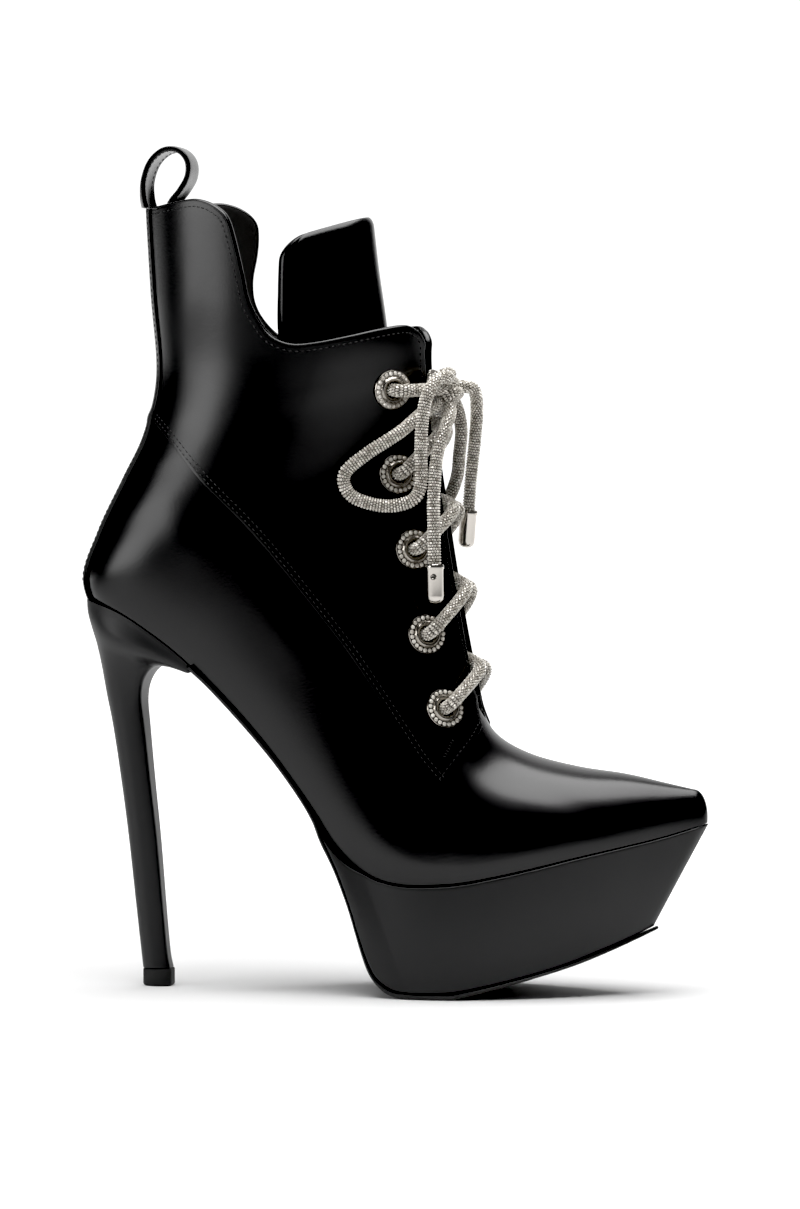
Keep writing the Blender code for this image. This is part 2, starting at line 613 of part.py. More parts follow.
# Knot in front of the flaps, with a strand to each top eyelet
KNOT = Vector((143.5, 0.0, 238.3))
KNOT_SIZE = Vector((7.0, 8.5, 10.0))
ball = bmesh.new()
bmesh.ops.create_uvsphere(ball, u_segments=12, v_segments=8, radius=1)
for vert in ball.verts:
    vert.co = to_frame(KNOT + vert.co * KNOT_SIZE)
knot = close_mesh("lace_knot", ball, STONES)
for side, side_name in SIDES:
    over = in_throat(238, side * 9.5, 6.2)
    path = leave_eyelet(1, side, over) + [over, KNOT + Vector((0, side * 4, 0))]
    combine(knot, tube("knot strand " + side_name, smooth_path(path, 2)), "UNION")

# Bow: two loops and two ends hanging from the knot, each through a few hand-set points
BOW = {
    "lace_loop_lateral": ((141.6, -10.0, 231.2), (137.5, -17.5, 228.5), (130.0, -24.9, 221.2),
                          (116.8, -28.7, 212.2), (108.8, -30.2, 204.4), (111.8, -29.4, 196.2),
                          (124.5, -27.5, 192.4), (134.9, -25.9, 194.7), (138.2, -24.6, 201.5),
                          (138.1, -24.5, 214.1), (138.8, -23.8, 228.0), (140.6, -21.5, 240.0),
                          (143.6, -14.5, 246.6), (144.8, -7.4, 246.8)),
    "lace_loop_medial": ((147.2, 9.0, 231.0), (148.6, 12.5, 222.0), (147.4, 15.5, 212.0),
                         (146.0, 18.5, 203.0), (142.0, 22.0, 194.4), (137.6, 24.5, 193.6),
                         (135.6, 25.5, 199.0), (136.6, 25.0, 208.0), (138.4, 23.0, 218.0),
                         (140.0, 17.5, 227.0), (141.8, 10.4, 231.4)),
    "lace_end_lateral": ((147.2, -7.8, 229.0), (146.4, -14.5, 223.5), (144.2, -21.0, 213.0),
                         (143.2, -24.0, 199.0), (143.4, -25.6, 184.0), (143.8, -26.4, 169.6)),
    "lace_end_medial": ((151.3, 5.2, 238.8), (154.2, 11.0, 237.0), (154.2, 17.0, 229.0),
                        (152.8, 21.0, 217.0), (151.2, 22.6, 204.0), (150.0, 23.4, 189.6)),
}
for name, route in BOW.items():
    curve = bpy.data.curves.new(name, "CURVE")
    curve.dimensions = "3D"
    curve.bevel_depth = LACE_RADIUS * MM
    curve.bevel_resolution = 2
    curve.use_fill_caps = True
    run = curve.splines.new("POLY")
    points = [to_frame(point) for point in route]
    run.points.add(len(points) - 1)
    for item, point in zip(run.points, points):
        item.co = (*point, 1)
    place_object(name, curve, STONES)

# Aglets on the two ends
NICKEL = surface("polished nickel", (0.72, 0.71, 0.69), 0.12, 1.0)
# Outline of an aglet: radius, distance from the cord's end
AGLET = ((3.5, 0.0), (3.7, 0.5), (3.7, 1.4), (3.4, 1.8), (3.4, 12.0), (2.6, 13.8), (1.2, 14.6))
for side, side_name in SIDES:
    route = [Vector(point) for point in BOW["lace_end_" + side_name]]
    axis = (route[-1] - route[-2]).normalized()
    start = route[-1] + axis * GAP
    outlines = turned(start, axis, AGLET, 10)
    loft("aglet_" + side_name, list(zip(*outlines)), NICKEL)
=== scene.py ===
import math

import bmesh
import bpy
from mathutils import Matrix, Vector


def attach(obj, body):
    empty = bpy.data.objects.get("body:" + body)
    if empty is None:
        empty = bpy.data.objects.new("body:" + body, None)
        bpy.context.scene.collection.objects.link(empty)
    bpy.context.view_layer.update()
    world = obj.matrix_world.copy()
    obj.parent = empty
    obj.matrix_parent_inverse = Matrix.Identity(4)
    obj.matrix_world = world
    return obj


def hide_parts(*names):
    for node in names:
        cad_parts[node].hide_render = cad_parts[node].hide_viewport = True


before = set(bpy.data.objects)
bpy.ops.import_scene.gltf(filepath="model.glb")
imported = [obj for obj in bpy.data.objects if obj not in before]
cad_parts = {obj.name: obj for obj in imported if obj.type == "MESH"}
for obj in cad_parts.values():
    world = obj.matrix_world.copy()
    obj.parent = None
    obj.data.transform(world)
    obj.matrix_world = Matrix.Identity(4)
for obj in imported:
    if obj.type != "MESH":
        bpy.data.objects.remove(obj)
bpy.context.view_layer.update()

# Vamp and counter
# The shell of the shoe: smooth black leather with a lining behind it, pulled over a last and glued
# under the insole board. Its shape follows sections of the last, from the toe up to the collar.
# Sizes are in millimetres: x from the back of the heel seat, y from the centre line, z from the floor
MM = 0.001
MID_X = 123.8
MID_Y = -0.2
LATERAL = -1
MEDIAL = 1
SIDES = ((LATERAL, "lateral"), (MEDIAL, "medial"))
TOE_TIP = 248.2
NOSE_START = math.radians(25)
WALL = 1.8
WELD = 0.000002
# place, back x, back z, front x, front z, lateral, medial, belly along the line, back power, front power
SECTIONS = (
    (1, 243.0, 59.5, 243.0, 81.0, 5.6, 5.6, 0.45, 0.65, 1.00),
    (2, 232.0, 56.0, 232.0, 83.4, 11.3, 10.8, 0.42, 0.60, 1.00),
    (3, 216.0, 50.5, 216.0, 86.9, 19.5, 18.6, 0.38, 0.55, 1.02),
    (4, 197.0, 45.8, 197.0, 89.6, 27.5, 26.8, 0.34, 0.50, 1.06),
    (5, 178.0, 41.0, 178.0, 94.4, 33.6, 33.2, 0.30, 0.50, 1.10),
    (6, 160.0, 37.5, 164.5, 102.0, 37.4, 37.4, 0.26, 0.48, 1.14),
    (7, 142.0, 36.0, 158.5, 112.5, 38.4, 37.8, 0.24, 0.46, 1.17),
    (8, 124.0, 38.0, 156.0, 124.5, 36.8, 35.2, 0.24, 0.46, 1.20),
    (9, 106.0, 48.5, 153.9, 139.0, 34.0, 32.0, 0.26, 0.46, 1.20),
    (10, 87.0, 72.0, 151.6, 155.0, 31.5, 29.8, 0.29, 0.46, 1.20),
    (11, 65.0, 99.0, 149.2, 172.0, 30.2, 28.8, 0.33, 0.48, 1.20),
    (12, 41.0, 122.0, 147.0, 189.0, 29.6, 28.6, 0.38, 0.52, 1.22),
    (13, 13.5, 141.5, 144.9, 205.0, 29.5, 29.0, 0.44, 0.60, 1.25),
    (14, 0.9, 160.0, 143.0, 219.0, 29.5, 29.4, 0.49, 0.70, 1.28),
    (15, 6.4, 180.5, 141.6, 231.0, 29.5, 29.5, 0.53, 0.80, 1.31),
    (16, 16.3, 201.6, 140.6, 241.5, 29.7, 29.7, 0.57, 0.90, 1.34),
    (17, 24.8, 219.6, 140.1, 250.0, 30.6, 30.6, 0.60, 0.97, 1.37),
    (18, 30.1, 243.0, 140.0, 258.0, 32.0, 32.0, 0.62, 1.00, 1.40),
    (19, 27.9, 276.0, 140.0, 266.0, 33.5, 33.5, 0.62, 1.00, 1.40),
    (20, 25.9, 312.0, 140.0, 276.0, 34.5, 34.5, 0.62, 1.00, 1.40),
    (21, 25.6, 330.0, 140.0, 288.0, 34.8, 34.8, 0.62, 1.00, 1.40),
)
TOP_PLACE = SECTIONS[-1][0]
HALVINGS = 40
# Lower edge of the upper in the side view: x, z
FEATHER = (
    (-12.0, 158.0), (0.0, 155.2), (8.4, 152.9), (17.1, 149.6), (25.8, 144.7), (39.6, 134.8), (54.4, 121.4),
    (67.8, 107.4), (82.8, 90.0), (92.0, 77.4), (100.0, 65.0), (110.5, 53.3), (119.5, 47.6), (130.0, 45.0),
    (142.0, 44.8), (155.0, 45.9), (170.0, 48.8), (185.0, 52.2), (200.0, 55.9), (217.0, 59.7),
    (232.0, 63.2), (247.0, 67.6), (262.0, 72.0),
)
# Throat between the flaps: z, half-gap
THROAT = ((108.0, 0.0), (109.6, 2.6), (113.0, 4.6), (122.0, 6.6), (135.0, 7.1), (147.0, 7.1), (167.0, 6.9),
          (189.0, 6.7), (214.0, 6.7), (240.0, 7.6), (253.0, 8.9), (300.0, 9.2))
# Rim of the collar from the back to the flap, in the side view; the inner side's notch is cut further back
TAB_TOP = ((31.8, 309.2), (46.1, 311.4), (52.8, 310.8), (58.5, 308.1))
FLAP_TOP = ((97.7, 255.5), (111.1, 258.1), (122.5, 260.8), (130.8, 262.1), (134.6, 260.0))
COLLAR = {
    LATERAL: TAB_TOP + ((62.6, 303.7), (65.8, 293.2), (68.4, 281.9), (70.6, 272.2), (74.7, 264.4),
                        (80.0, 258.1), (88.0, 255.0)) + FLAP_TOP,
    MEDIAL: TAB_TOP + ((62.2, 304.0), (63.0, 298.6), (62.5, 291.2), (60.9, 281.2), (61.8, 272.2),
                       (66.0, 264.4), (73.0, 258.1), (84.0, 254.8)) + FLAP_TOP,
}
FLAP_CORNER_Z = 256.4


def smooth(rows, column, at):
    """Smooth value of a column where the first column of the rows passes a place."""
    final = len(rows) - 1
    at = min(max(at, rows[0][0]), rows[-1][0])
    low = 0
    while low < final - 1 and at > rows[low + 1][0]:
        low += 1
    span = rows[low + 1][0] - rows[low][0]
    part = (at - rows[low][0]) / span
    slopes = []
    for here in (low, low + 1):
        before = rows[max(here - 1, 0)]
        after = rows[min(here + 1, final)]
        slopes.append((after[column] - before[column]) / (after[0] - before[0]))
    start = rows[low][column]
    change = rows[low + 1][column] - start
    bend_in = slopes[0] * span - change
    bend_out = change - slopes[1] * span
    return start + part * change + part * (1 - part) * ((1 - part) * bend_in + part * bend_out)


def numbered(rows):
    """Rows with their number in front, so that smooth can be read by it."""
    return [(i, *row) for i, row in enumerate(rows)]


def through(points, steps):
    """Smooth line through points, with some steps from each point to the next."""
    rows = numbered(points)
    count = (len(points) - 1) * steps
    width = len(points[0])
    return [tuple(smooth(rows, c + 1, i / steps) for c in range(width)) for i in range(count + 1)]


def find_root(rising, low, high):
    """Where a rising function passes nought."""
    for _ in range(HALVINGS):
        middle = (low + high) / 2
        if rising(middle) < 0:
            low = middle
        else:
            high = middle
    return (low + high) / 2


def to_frame(point):
    """A point in millimetres from the heel, in metres from the middle of the footprint."""
    return Vector(((point[0] - MID_X) * MM, (point[1] - MID_Y) * MM, point[2] * MM))


def feather_z(x):
    """Height of the upper's lower edge."""
    return smooth(FEATHER, 1, x)


def section(place):
    """Back point, front point, half-widths, belly and powers of the last's section."""
    row = [smooth(SECTIONS, column, max(place, 1)) for column in range(1, 10)]
    if place < 1:
        angle = NOSE_START + (1 - place) * (math.pi / 2 - NOSE_START)
        reach = (math.sin(angle) - math.sin(NOSE_START)) / (1 - math.sin(NOSE_START))
        squash = math.sqrt(max(0, 1 - reach * reach))
        middle = (row[1] + row[3]) / 2
        tip = row[0] + (TOE_TIP - row[0]) * reach
        narrow = math.cos(angle) / math.cos(NOSE_START)
        row[0:4] = [tip, middle + (row[1] - middle) * squash, tip, middle + (row[3] - middle) * squash]
        row[4:6] = [row[4] * narrow, row[5] * narrow]
    return row


def half_width(row, side):
    """Half-width of a section on one side."""
    return row[4] if side == LATERAL else row[5]


def last_point(place, turn, side):
    """Point of the last, turned from the back or sole at 0 to the front or ridge at pi."""
    row = section(place)
    back_x, back_z, front_x, front_z = row[0:4]
    belly, back_power, front_power = row[6:9]
    if turn < math.pi / 2:
        share = belly * (1 - math.cos(turn))
        power = back_power
    else:
        share = belly - (1 - belly) * math.cos(turn)
        power = front_power
    out = side * half_width(row, side) * max(0, math.sin(turn)) ** power
    return Vector((back_x + (front_x - back_x) * share, out, back_z + (front_z - back_z) * share))


# Directions are taken no nearer than this to the middle line and to the end sections, and they have no
# sideways part within the last of these turns from the middle line
POLE_TURN = 0.06
END_PLACE = 0.05
MIDDLE_TURN = 0.01


def outward(place, turn, side):
    """Direction square to the last, pointing out of the foot."""
    near_turn = min(max(turn, POLE_TURN), math.pi - POLE_TURN)
    near_place = min(max(place, END_PLACE), TOP_PLACE - END_PLACE)
    step = 0.03
    along = last_point(near_place + step, near_turn, side) - last_point(near_place - step, near_turn, side)
    around = last_point(near_place, near_turn + step, side) - last_point(near_place, near_turn - step, side)
    square = along.cross(around) * side
    if turn < MIDDLE_TURN or turn > math.pi - MIDDLE_TURN:
        square.y = 0
    return square.normalized()


def shell_point(place, turn, side, rise):
    """Point of the upper, raised from the last."""
    return last_point(place, turn, side) + outward(place, turn, side) * rise


def find_on_side(x, z):
    """Place and turn of the point that the side view shows at x, z."""
    low = 0.0
    high = float(TOP_PLACE)
    for _ in range(HALVINGS):
        place = (low + high) / 2
        back_x, back_z, front_x, front_z = section(place)[0:4]
        if (front_x - back_x) * (z - back_z) >= (front_z - back_z) * (x - back_x):
            low = place
        else:
            high = place
    run = (front_x - back_x, front_z - back_z)
    share = ((x - back_x) * run[0] + (z - back_z) * run[1]) / (run[0] ** 2 + run[1] ** 2)
    belly = section(place)[6]
    share = min(max(share, 0), 1)
    if share < belly:
        return place, math.acos(1 - share / belly)
    return place, math.acos((belly - share) / (1 - belly))


def feather_turn(place):
    """Turn at which a section of the last meets the upper's lower edge."""
    def above(turn):
        point = last_point(place, turn, LATERAL)
        return point.z - feather_z(point.x)
    return 0.0 if above(0) > 0 else find_root(above, 0, 2.2)


def throat_spot(z, side):
    """Place and turn on a flap's front edge at a height."""
    gap = smooth(THROAT, 1, z)

    def turn_at(place):
        row = section(place)
        return math.pi - math.asin((gap / half_width(row, side)) ** (1 / row[8]))

    place = find_root(lambda tried: last_point(tried, turn_at(tried), side).z - z, 4, 20)
    return place, turn_at(place)


def back_turn(place, side, out):
    """Turn at which a section is a distance out from the centre line at the back."""
    row = section(place)
    return math.asin((out / half_width(row, side)) ** (1 / row[7]))


def even_track(track, side, count, turning=0.0, ease=1.0):
    """The same track of place and turn in steps along the leather, or more evenly in its turn, or eased."""
    spots = [last_point(place, turn, side) for place, turn in track]
    rows = [(0.0, *track[0])]
    for pair, here, there in zip(track[1:], spots, spots[1:]):
        step = (there - here).length + turning * abs(pair[1] - rows[-1][2])
        rows.append((rows[-1][0] + step, *pair))
    reach = rows[-1][0]
    stops = [reach * (i / count) ** ease for i in range(count + 1)]
    return [(smooth(rows, 1, stop), smooth(rows, 2, stop)) for stop in stops]


# Soft hollows and swells worked into the leather by lasting and wear
# side view x, z, direction in degrees, half-length, half-width, rise
CREASES = (
    (176.0, 84.0, -20.0, 16.0, 5.0, -0.55),
    (184.0, 80.0, -24.0, 18.0, 5.0, 0.40),
    (196.0, 76.0, -28.0, 15.0, 5.0, -0.40),
    (131.0, 165.0, 68.0, 7.0, 1.6, -0.35),
    (118.0, 120.0, -52.0, 22.0, 7.0, -0.50),
    (88.0, 140.0, -50.0, 24.0, 8.0, 0.40),
    (48.0, 250.0, 80.0, 26.0, 7.0, -0.35),
    (44.0, 182.0, -60.0, 15.0, 7.0, 0.30),
)


def crease(point):
    """How far the leather's hollows and swells move it at a point."""
    total = 0.0
    for x, z, direction, long, wide, rise in CREASES:
        run = Vector((math.cos(math.radians(direction)), math.sin(math.radians(direction))))
        way = Vector((point.x - x, point.z - z))
        along = way.dot(run) / long
        across = (way.y * run.x - way.x * run.y) / wide
        total += rise * math.exp(-along * along - across * across)
    return total


def leather_point(place, turn, side, rise):
    """Point on the finished leather, with its hollows and swells."""
    base = last_point(place, turn, side)
    return base + outward(place, turn, side) * (rise + crease(base))


def new_finish(name, values):
    """A material with its node tree and its shader, which is given some values."""
    material = bpy.data.materials.new(name)
    material.use_nodes = True
    shader = material.node_tree.nodes["Principled BSDF"]
    for socket, value in values.items():
        shader.inputs[socket].default_value = value
    return material, material.node_tree, shader


def add_texture(tree, kind, values):
    """Adds a texture or another node that reads where a point is on its piece."""
    texture = tree.nodes.new(kind)
    for socket, value in values.items():
        texture.inputs[socket].default_value = value
    where = tree.nodes.new("ShaderNodeTexCoord")
    tree.links.new(where.outputs["Object"], texture.inputs["Vector"])
    return texture


def add_bump(tree, shader, height, strength, depth):
    """Raises a finish by a pattern, to a depth in millimetres."""
    bump = tree.nodes.new("ShaderNodeBump")
    bump.inputs["Strength"].default_value = strength
    bump.inputs["Distance"].default_value = depth * MM
    tree.links.new(height, bump.inputs["Height"])
    tree.links.new(bump.outputs["Normal"], shader.inputs["Normal"])


def vary_gloss(tree, shader, pattern, smoothest, roughest):
    """Lets a pattern take the roughness from one value to another."""
    gloss = tree.nodes.new("ShaderNodeMapRange")
    gloss.inputs["To Min"].default_value = smoothest
    gloss.inputs["To Max"].default_value = roughest
    tree.links.new(pattern, gloss.inputs["Value"])
    tree.links.new(gloss.outputs["Result"], shader.inputs["Roughness"])


def vary_colour(tree, shader, pattern, first, second):
    """Lets a pattern take the colour from one to another."""
    tint = tree.nodes.new("ShaderNodeMix")
    tint.data_type = "RGBA"
    tint.inputs["A"].default_value = (*first, 1)
    tint.inputs["B"].default_value = (*second, 1)
    tree.links.new(pattern, tint.inputs["Factor"])
    tree.links.new(tint.outputs["Result"], shader.inputs["Base Color"])


def leather(name, colour, roughness, grain_depth):
    """Smooth finished leather: a fine grain of cells and pores, and a gloss that changes slowly."""
    material, tree, shader = new_finish(name, {})
    cells = add_texture(tree, "ShaderNodeTexVoronoi", {"Scale": 950})
    pores = add_texture(tree, "ShaderNodeTexNoise", {"Scale": 2400, "Detail": 4})
    clouds = add_texture(tree, "ShaderNodeTexNoise", {"Scale": 42, "Detail": 3})
    grain = tree.nodes.new("ShaderNodeMath")
    grain.operation = "MULTIPLY_ADD"
    grain.inputs[1].default_value = 0.6
    tree.links.new(pores.outputs["Fac"], grain.inputs[0])
    tree.links.new(cells.outputs["Distance"], grain.inputs[2])
    add_bump(tree, shader, grain.outputs["Value"], 0.35, grain_depth)
    vary_gloss(tree, shader, clouds.outputs["Fac"], roughness * 0.86, roughness * 1.16)
    vary_colour(tree, shader, clouds.outputs["Fac"], colour, [value * 1.5 for value in colour])
    return material


def keep(name, bm, finishes, slot, *nodes):
    """Welds a mesh, makes it a piece of the shoe and hides the solids that it stands for."""
    bmesh.ops.remove_doubles(bm, verts=bm.verts, dist=WELD)
    bmesh.ops.dissolve_degenerate(bm, edges=bm.edges, dist=WELD)
    for face in bm.faces:
        face.smooth = True
    mesh = bpy.data.meshes.new(name)
    bm.to_mesh(mesh)
    bm.free()
    for finish in finishes:
        mesh.materials.append(finish)
    piece = bpy.data.objects.new(name, mesh)
    bpy.context.scene.collection.objects.link(piece)
    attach(piece, "root")
    if nodes:
        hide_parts(*nodes)
    return piece


def add_wall(piece, thick, rim):
    """Gives a shell its thickness inwards, with rounded rims."""
    wall = piece.modifiers.new("wall", "SOLIDIFY")
    wall.thickness = thick * MM
    wall.offset = -1
    wall.material_offset = len(piece.data.materials) - 1
    edge = piece.modifiers.new("rim", "BEVEL")
    edge.width = rim * MM
    edge.segments = 3
    edge.limit_method = "ANGLE"
    edge.angle_limit = math.radians(50)


def add_sheet(bm, columns, rows, vertex, flip):
    """Adds a sheet whose points are given by column and row."""
    grid = bmesh.ops.create_grid(bm, x_segments=columns, y_segments=rows, size=0.5)
    for vert in grid["verts"]:
        column = round((vert.co.x + 0.5) * columns)
        row = round((vert.co.y + 0.5) * rows)
        vert.co = to_frame(vertex(column, row))
    if flip:
        faces = {face for vert in grid["verts"] for face in vert.link_faces}
        bmesh.ops.reverse_faces(bm, faces=list(faces))


TOE_COLUMNS = 44
TOE_SPREAD = 1.15
FLAP_COLUMNS = 112
TAB_COLUMNS = 10
REAR_COLUMNS = FLAP_COLUMNS + TAB_COLUMNS
REAR_EASE = 0.65
EDGE_STEPS = 60
SHELL_ROWS = 60
COLLAR_STEPS = 5
# How much the spacing of the shell's rows shifts towards the heel, in place and in turn
PLACE_LEAN = 0.12
TURN_LEAN = 0.15
COLLAR_BACK_Z = 309.1
FLAP_FOOT_Z = 109
FLAP_STEPS = 40
THROAT_FOOT = throat_spot(THROAT[0][0], LATERAL)[0]
HEEL_FOOT = find_root(lambda place: section(place)[1] - feather_z(section(place)[0]), 12, 15)
COLLAR_BACK = find_root(lambda place: section(place)[1] - COLLAR_BACK_Z, 18, 21)
FLAP_DROP = FLAP_CORNER_Z - FLAP_FOOT_Z
FLAP_HEIGHTS = [FLAP_CORNER_Z - FLAP_DROP * (i / FLAP_STEPS) for i in range(FLAP_STEPS + 1)]


def flap_track(side):
    """Front edge of a flap from its top corner down to the foot of the throat."""
    return [throat_spot(z, side) for z in FLAP_HEIGHTS]


def collar_track(side):
    """Rim of the collar from beside the back to the flap's top corner."""
    return [find_on_side(x, z) for x, z in through(COLLAR[side], COLLAR_STEPS)] + [flap_track(side)[0]]


LEATHER = leather("black leather", (0.0038, 0.0038, 0.0040), 0.25, 0.035)
LINING = leather("lining leather", (0.014, 0.0135, 0.013), 0.55, 0.05)

shell = bmesh.new()
for side, _ in SIDES:
    toe_places = [THROAT_FOOT * (i / TOE_COLUMNS) ** TOE_SPREAD for i in range(TOE_COLUMNS)]
    low_track = [(place, feather_turn(place)) for place in toe_places]
    high_track = [(place, math.pi) for place in toe_places]
    edge_places = [THROAT_FOOT + (HEEL_FOOT - THROAT_FOOT) * i / EDGE_STEPS for i in range(EDGE_STEPS)]
    rear_edge = [(place, feather_turn(place)) for place in edge_places] + [(HEEL_FOOT, 0.0)]
    low_track += even_track(rear_edge, side, REAR_COLUMNS, 0, REAR_EASE)
    collar = collar_track(side)
    corner = COLLAR_STEPS * (len(TAB_TOP) - 1)
    opening = collar[corner:] + flap_track(side)[1:] + [(THROAT_FOOT, math.pi)]
    high_track += even_track(opening[::-1], side, FLAP_COLUMNS)
    high_track += even_track(collar[corner::-1] + [(COLLAR_BACK, 0.0)], side, TAB_COLUMNS)[1:]

    def shell_vertex(column, row):
        share = row / SHELL_ROWS
        lean = max(column - TOE_COLUMNS, 0) / REAR_COLUMNS
        low_place, low_turn = low_track[column]
        high_place, high_turn = high_track[column]
        place = low_place + (high_place - low_place) * share ** (1 - PLACE_LEAN * lean)
        turn = low_turn + (high_turn - low_turn) * share ** (1 + TURN_LEAN * lean)
        return leather_point(place, turn, side, 0)

    add_sheet(shell, TOE_COLUMNS + REAR_COLUMNS, SHELL_ROWS, shell_vertex, side == LATERAL)
vamp = keep("vamp_and_counter", shell, (LEATHER, LINING), "black_leather", "upper")
add_wall(vamp, WALL, 0.5)

# Quarters
# Two leather overlays, one on each side, from the back strip to the lacing flap and down to a point
# over the ball. Each has a folded edge, lies on the shell and is sewn to it along its seam.
QUARTER_RISE = 1.05
STRIP_HALF = 8.8
SEAM = ((10.0, 241.0), (32.4, 222.6), (51.2, 202.3), (71.1, 182.8), (90.9, 159.4), (110.7, 134.1),
        (130.5, 105.0), (138.4, 93.4), (147.4, 83.3))
QUARTER_NOSE = ((147.4, 83.3), (153.1, 91.6), (157.9, 99.4), (159.7, 105.4))
SEAM_START_X = 31
QUARTER_COLUMNS = 250
SEAM_COLUMNS = 190
QUARTER_ROWS = 76
BACK_STEPS = 30
# Millimetres that a turn of one radian counts for in spacing the columns
TURN_WEIGHT = 150
RIM_EASE = 0.5
# How fast the back edge and the throat edge lose their hold on the columns between them
BACK_FADE = 2
THROAT_FADE = 4
# Columns and rows round the quarter's point that are evened out, and how often
POINT_WINDOW = 24
RELAX_ROUNDS = 40


def quarter_tracks(side):
    """Seam, nose, throat edge, rim and back edge of a quarter, as tracks of place and turn."""
    def beside_strip(place):
        return last_point(place, back_turn(place, side, STRIP_HALF), side)

    def over_seam(place):
        point = beside_strip(place)
        return point.z - smooth(SEAM, 1, point.x)

    seam_place = find_root(over_seam, 15, 19)
    rim_place = find_root(lambda place: beside_strip(place).z - COLLAR_BACK_Z, 18, 21)
    steps = [seam_place + (rim_place - seam_place) * i / BACK_STEPS for i in range(BACK_STEPS + 1)]
    back = [(place, back_turn(place, side, STRIP_HALF)) for place in steps]
    seam = [back[0]] + [find_on_side(x, z) for x, z in through(SEAM, 5) if x > SEAM_START_X]
    rim = [back[-1]] + collar_track(side)
    nose = [seam[-1]] + [find_on_side(x, z) for x, z in through(QUARTER_NOSE, 4)][1:]
    throat = nose[-1:] + flap_track(side)[::-1][2:]
    return seam, nose, throat, rim, back


def blend_tracks(low, high, start, finish, column, row):
    """Place and turn inside four even tracks."""
    u = column / (len(low) - 1)
    v = row / (len(start) - 1)
    pair = []
    for i in range(2):
        across = (1 - v) * low[column][i] + v * high[column][i]
        start_bow = start[row][i] - (1 - v) * low[0][i] - v * high[0][i]
        finish_bow = finish[row][i] - (1 - v) * low[-1][i] - v * high[-1][i]
        pair.append(across + (1 - u) ** BACK_FADE * start_bow + u ** THROAT_FADE * finish_bow)
    return pair


def relax(grid, columns, rows):
    """Evens out the places and turns in a window of a grid."""
    for _ in range(RELAX_ROUNDS):
        for column in columns:
            for row in rows:
                line = grid[column]
                near = (grid[column - 1][row], grid[column + 1][row], line[row - 1], line[row + 1])
                line[row] = [sum(pair[i] for pair in near) / 4 for i in range(2)]


tracks = {}
for side, side_name in SIDES:
    seam, nose, throat, rim, back = quarter_tracks(side)
    tracks[side] = {"seam": seam, "rim": rim, "throat": throat, "front": nose + throat[1:]}
    low = even_track(seam, side, SEAM_COLUMNS, TURN_WEIGHT)
    low += even_track(nose, side, QUARTER_COLUMNS - SEAM_COLUMNS)[1:]
    high = even_track(rim, side, QUARTER_COLUMNS, TURN_WEIGHT, RIM_EASE)
    start = even_track(back, side, QUARTER_ROWS)
    finish = even_track(throat, side, QUARTER_ROWS)
    patch = []
    for column in range(QUARTER_COLUMNS + 1):
        patch.append([blend_tracks(low, high, start, finish, column, row) for row in range(QUARTER_ROWS + 1)])
    window = range(SEAM_COLUMNS - POINT_WINDOW, SEAM_COLUMNS + POINT_WINDOW)
    relax(patch, window, range(1, POINT_WINDOW))

    def quarter_vertex(column, row):
        return leather_point(*patch[column][row], side, QUARTER_RISE)

    quarter = bmesh.new()
    add_sheet(quarter, QUARTER_COLUMNS, QUARTER_ROWS, quarter_vertex, side == MEDIAL)
    piece = keep("quarter_" + side_name, quarter, (LEATHER,), "black_leather", "upper")
    add_wall(piece, QUARTER_RISE - 0.03, 0.42)

# Folded rim
# The leather of the shell and the quarters, folded over together and glued round the collar and the
# throat, so that the rim there is full and round.
RIM_STEPS = 300
RIM_ROUND = 12
RIM_THICK = (QUARTER_RISE + WALL) / 2 + 0.06
RIM_WIDE = 0.85


def close_seams(bm):
    """Welds a closed mesh along its seams and turns its faces outwards."""
    bmesh.ops.remove_doubles(bm, verts=bm.verts, dist=WELD)
    bmesh.ops.recalc_face_normals(bm, faces=bm.faces)


def closed_sheet(columns, rows, vertex):
    """A sheet that closes on itself, with its seams welded."""
    bm = bmesh.new()
    add_sheet(bm, columns, rows, vertex, False)
    close_seams(bm)
    return bm


for side, side_name in SIDES:
    route = even_track(tracks[side]["rim"] + tracks[side]["throat"][-2:0:-1], side, RIM_STEPS)

    def rim_vertex(column, row):
        here = route[min(max(row - 1, 0), RIM_STEPS)]
        before = route[min(max(row - 2, 0), RIM_STEPS)]
        after = route[min(row, RIM_STEPS)]
        up = outward(*here, side)
        run = (last_point(*after, side) - last_point(*before, side)).normalized()
        off = up.cross(run) * -side
        middle = leather_point(*here, side, (QUARTER_RISE - WALL) / 2)
        if row in (0, RIM_STEPS + 2):
            return middle
        angle = 2 * math.pi * column / RIM_ROUND
        return middle + up * RIM_THICK * math.cos(angle) + off * RIM_WIDE * math.sin(angle)

    roll = closed_sheet(RIM_ROUND, RIM_STEPS + 2, rim_vertex)
    keep("folded_rim_" + side_name, roll, (LEATHER,), "black_leather", "upper")

# Back strip
# A narrow leather strip over the centre-back join, from the heel seat to the collar. It is sewn down
# along both edges and stands a little proud of the quarters.
STRIP_RISE = 1.9
STRIP_FOOT = 0.2
STRIP_TOP_Z = 309.3
# Where the strip passes over the quarters' seam: height, half-length and rise
CROSSING_Z = 226.5
CROSSING_HALF = 2.4
CROSSING_RISE = 0.55
STRIP_COLUMNS = 24
STRIP_ROWS = 120


def strip_ends(share):
    """Lowest and highest place of the strip across its width."""
    side = MEDIAL if share > 0 else LATERAL

    def point_at(place):
        return last_point(place, back_turn(place, side, abs(share) * STRIP_HALF), side)

    low = find_root(lambda place: point_at(place).z - feather_z(point_at(place).x) - STRIP_FOOT, 12.5, 15)
    high = find_root(lambda place: point_at(place).z - STRIP_TOP_Z, 18, 21)
    return low, high


strip_limits = [strip_ends(2 * column / STRIP_COLUMNS - 1) for column in range(STRIP_COLUMNS + 1)]


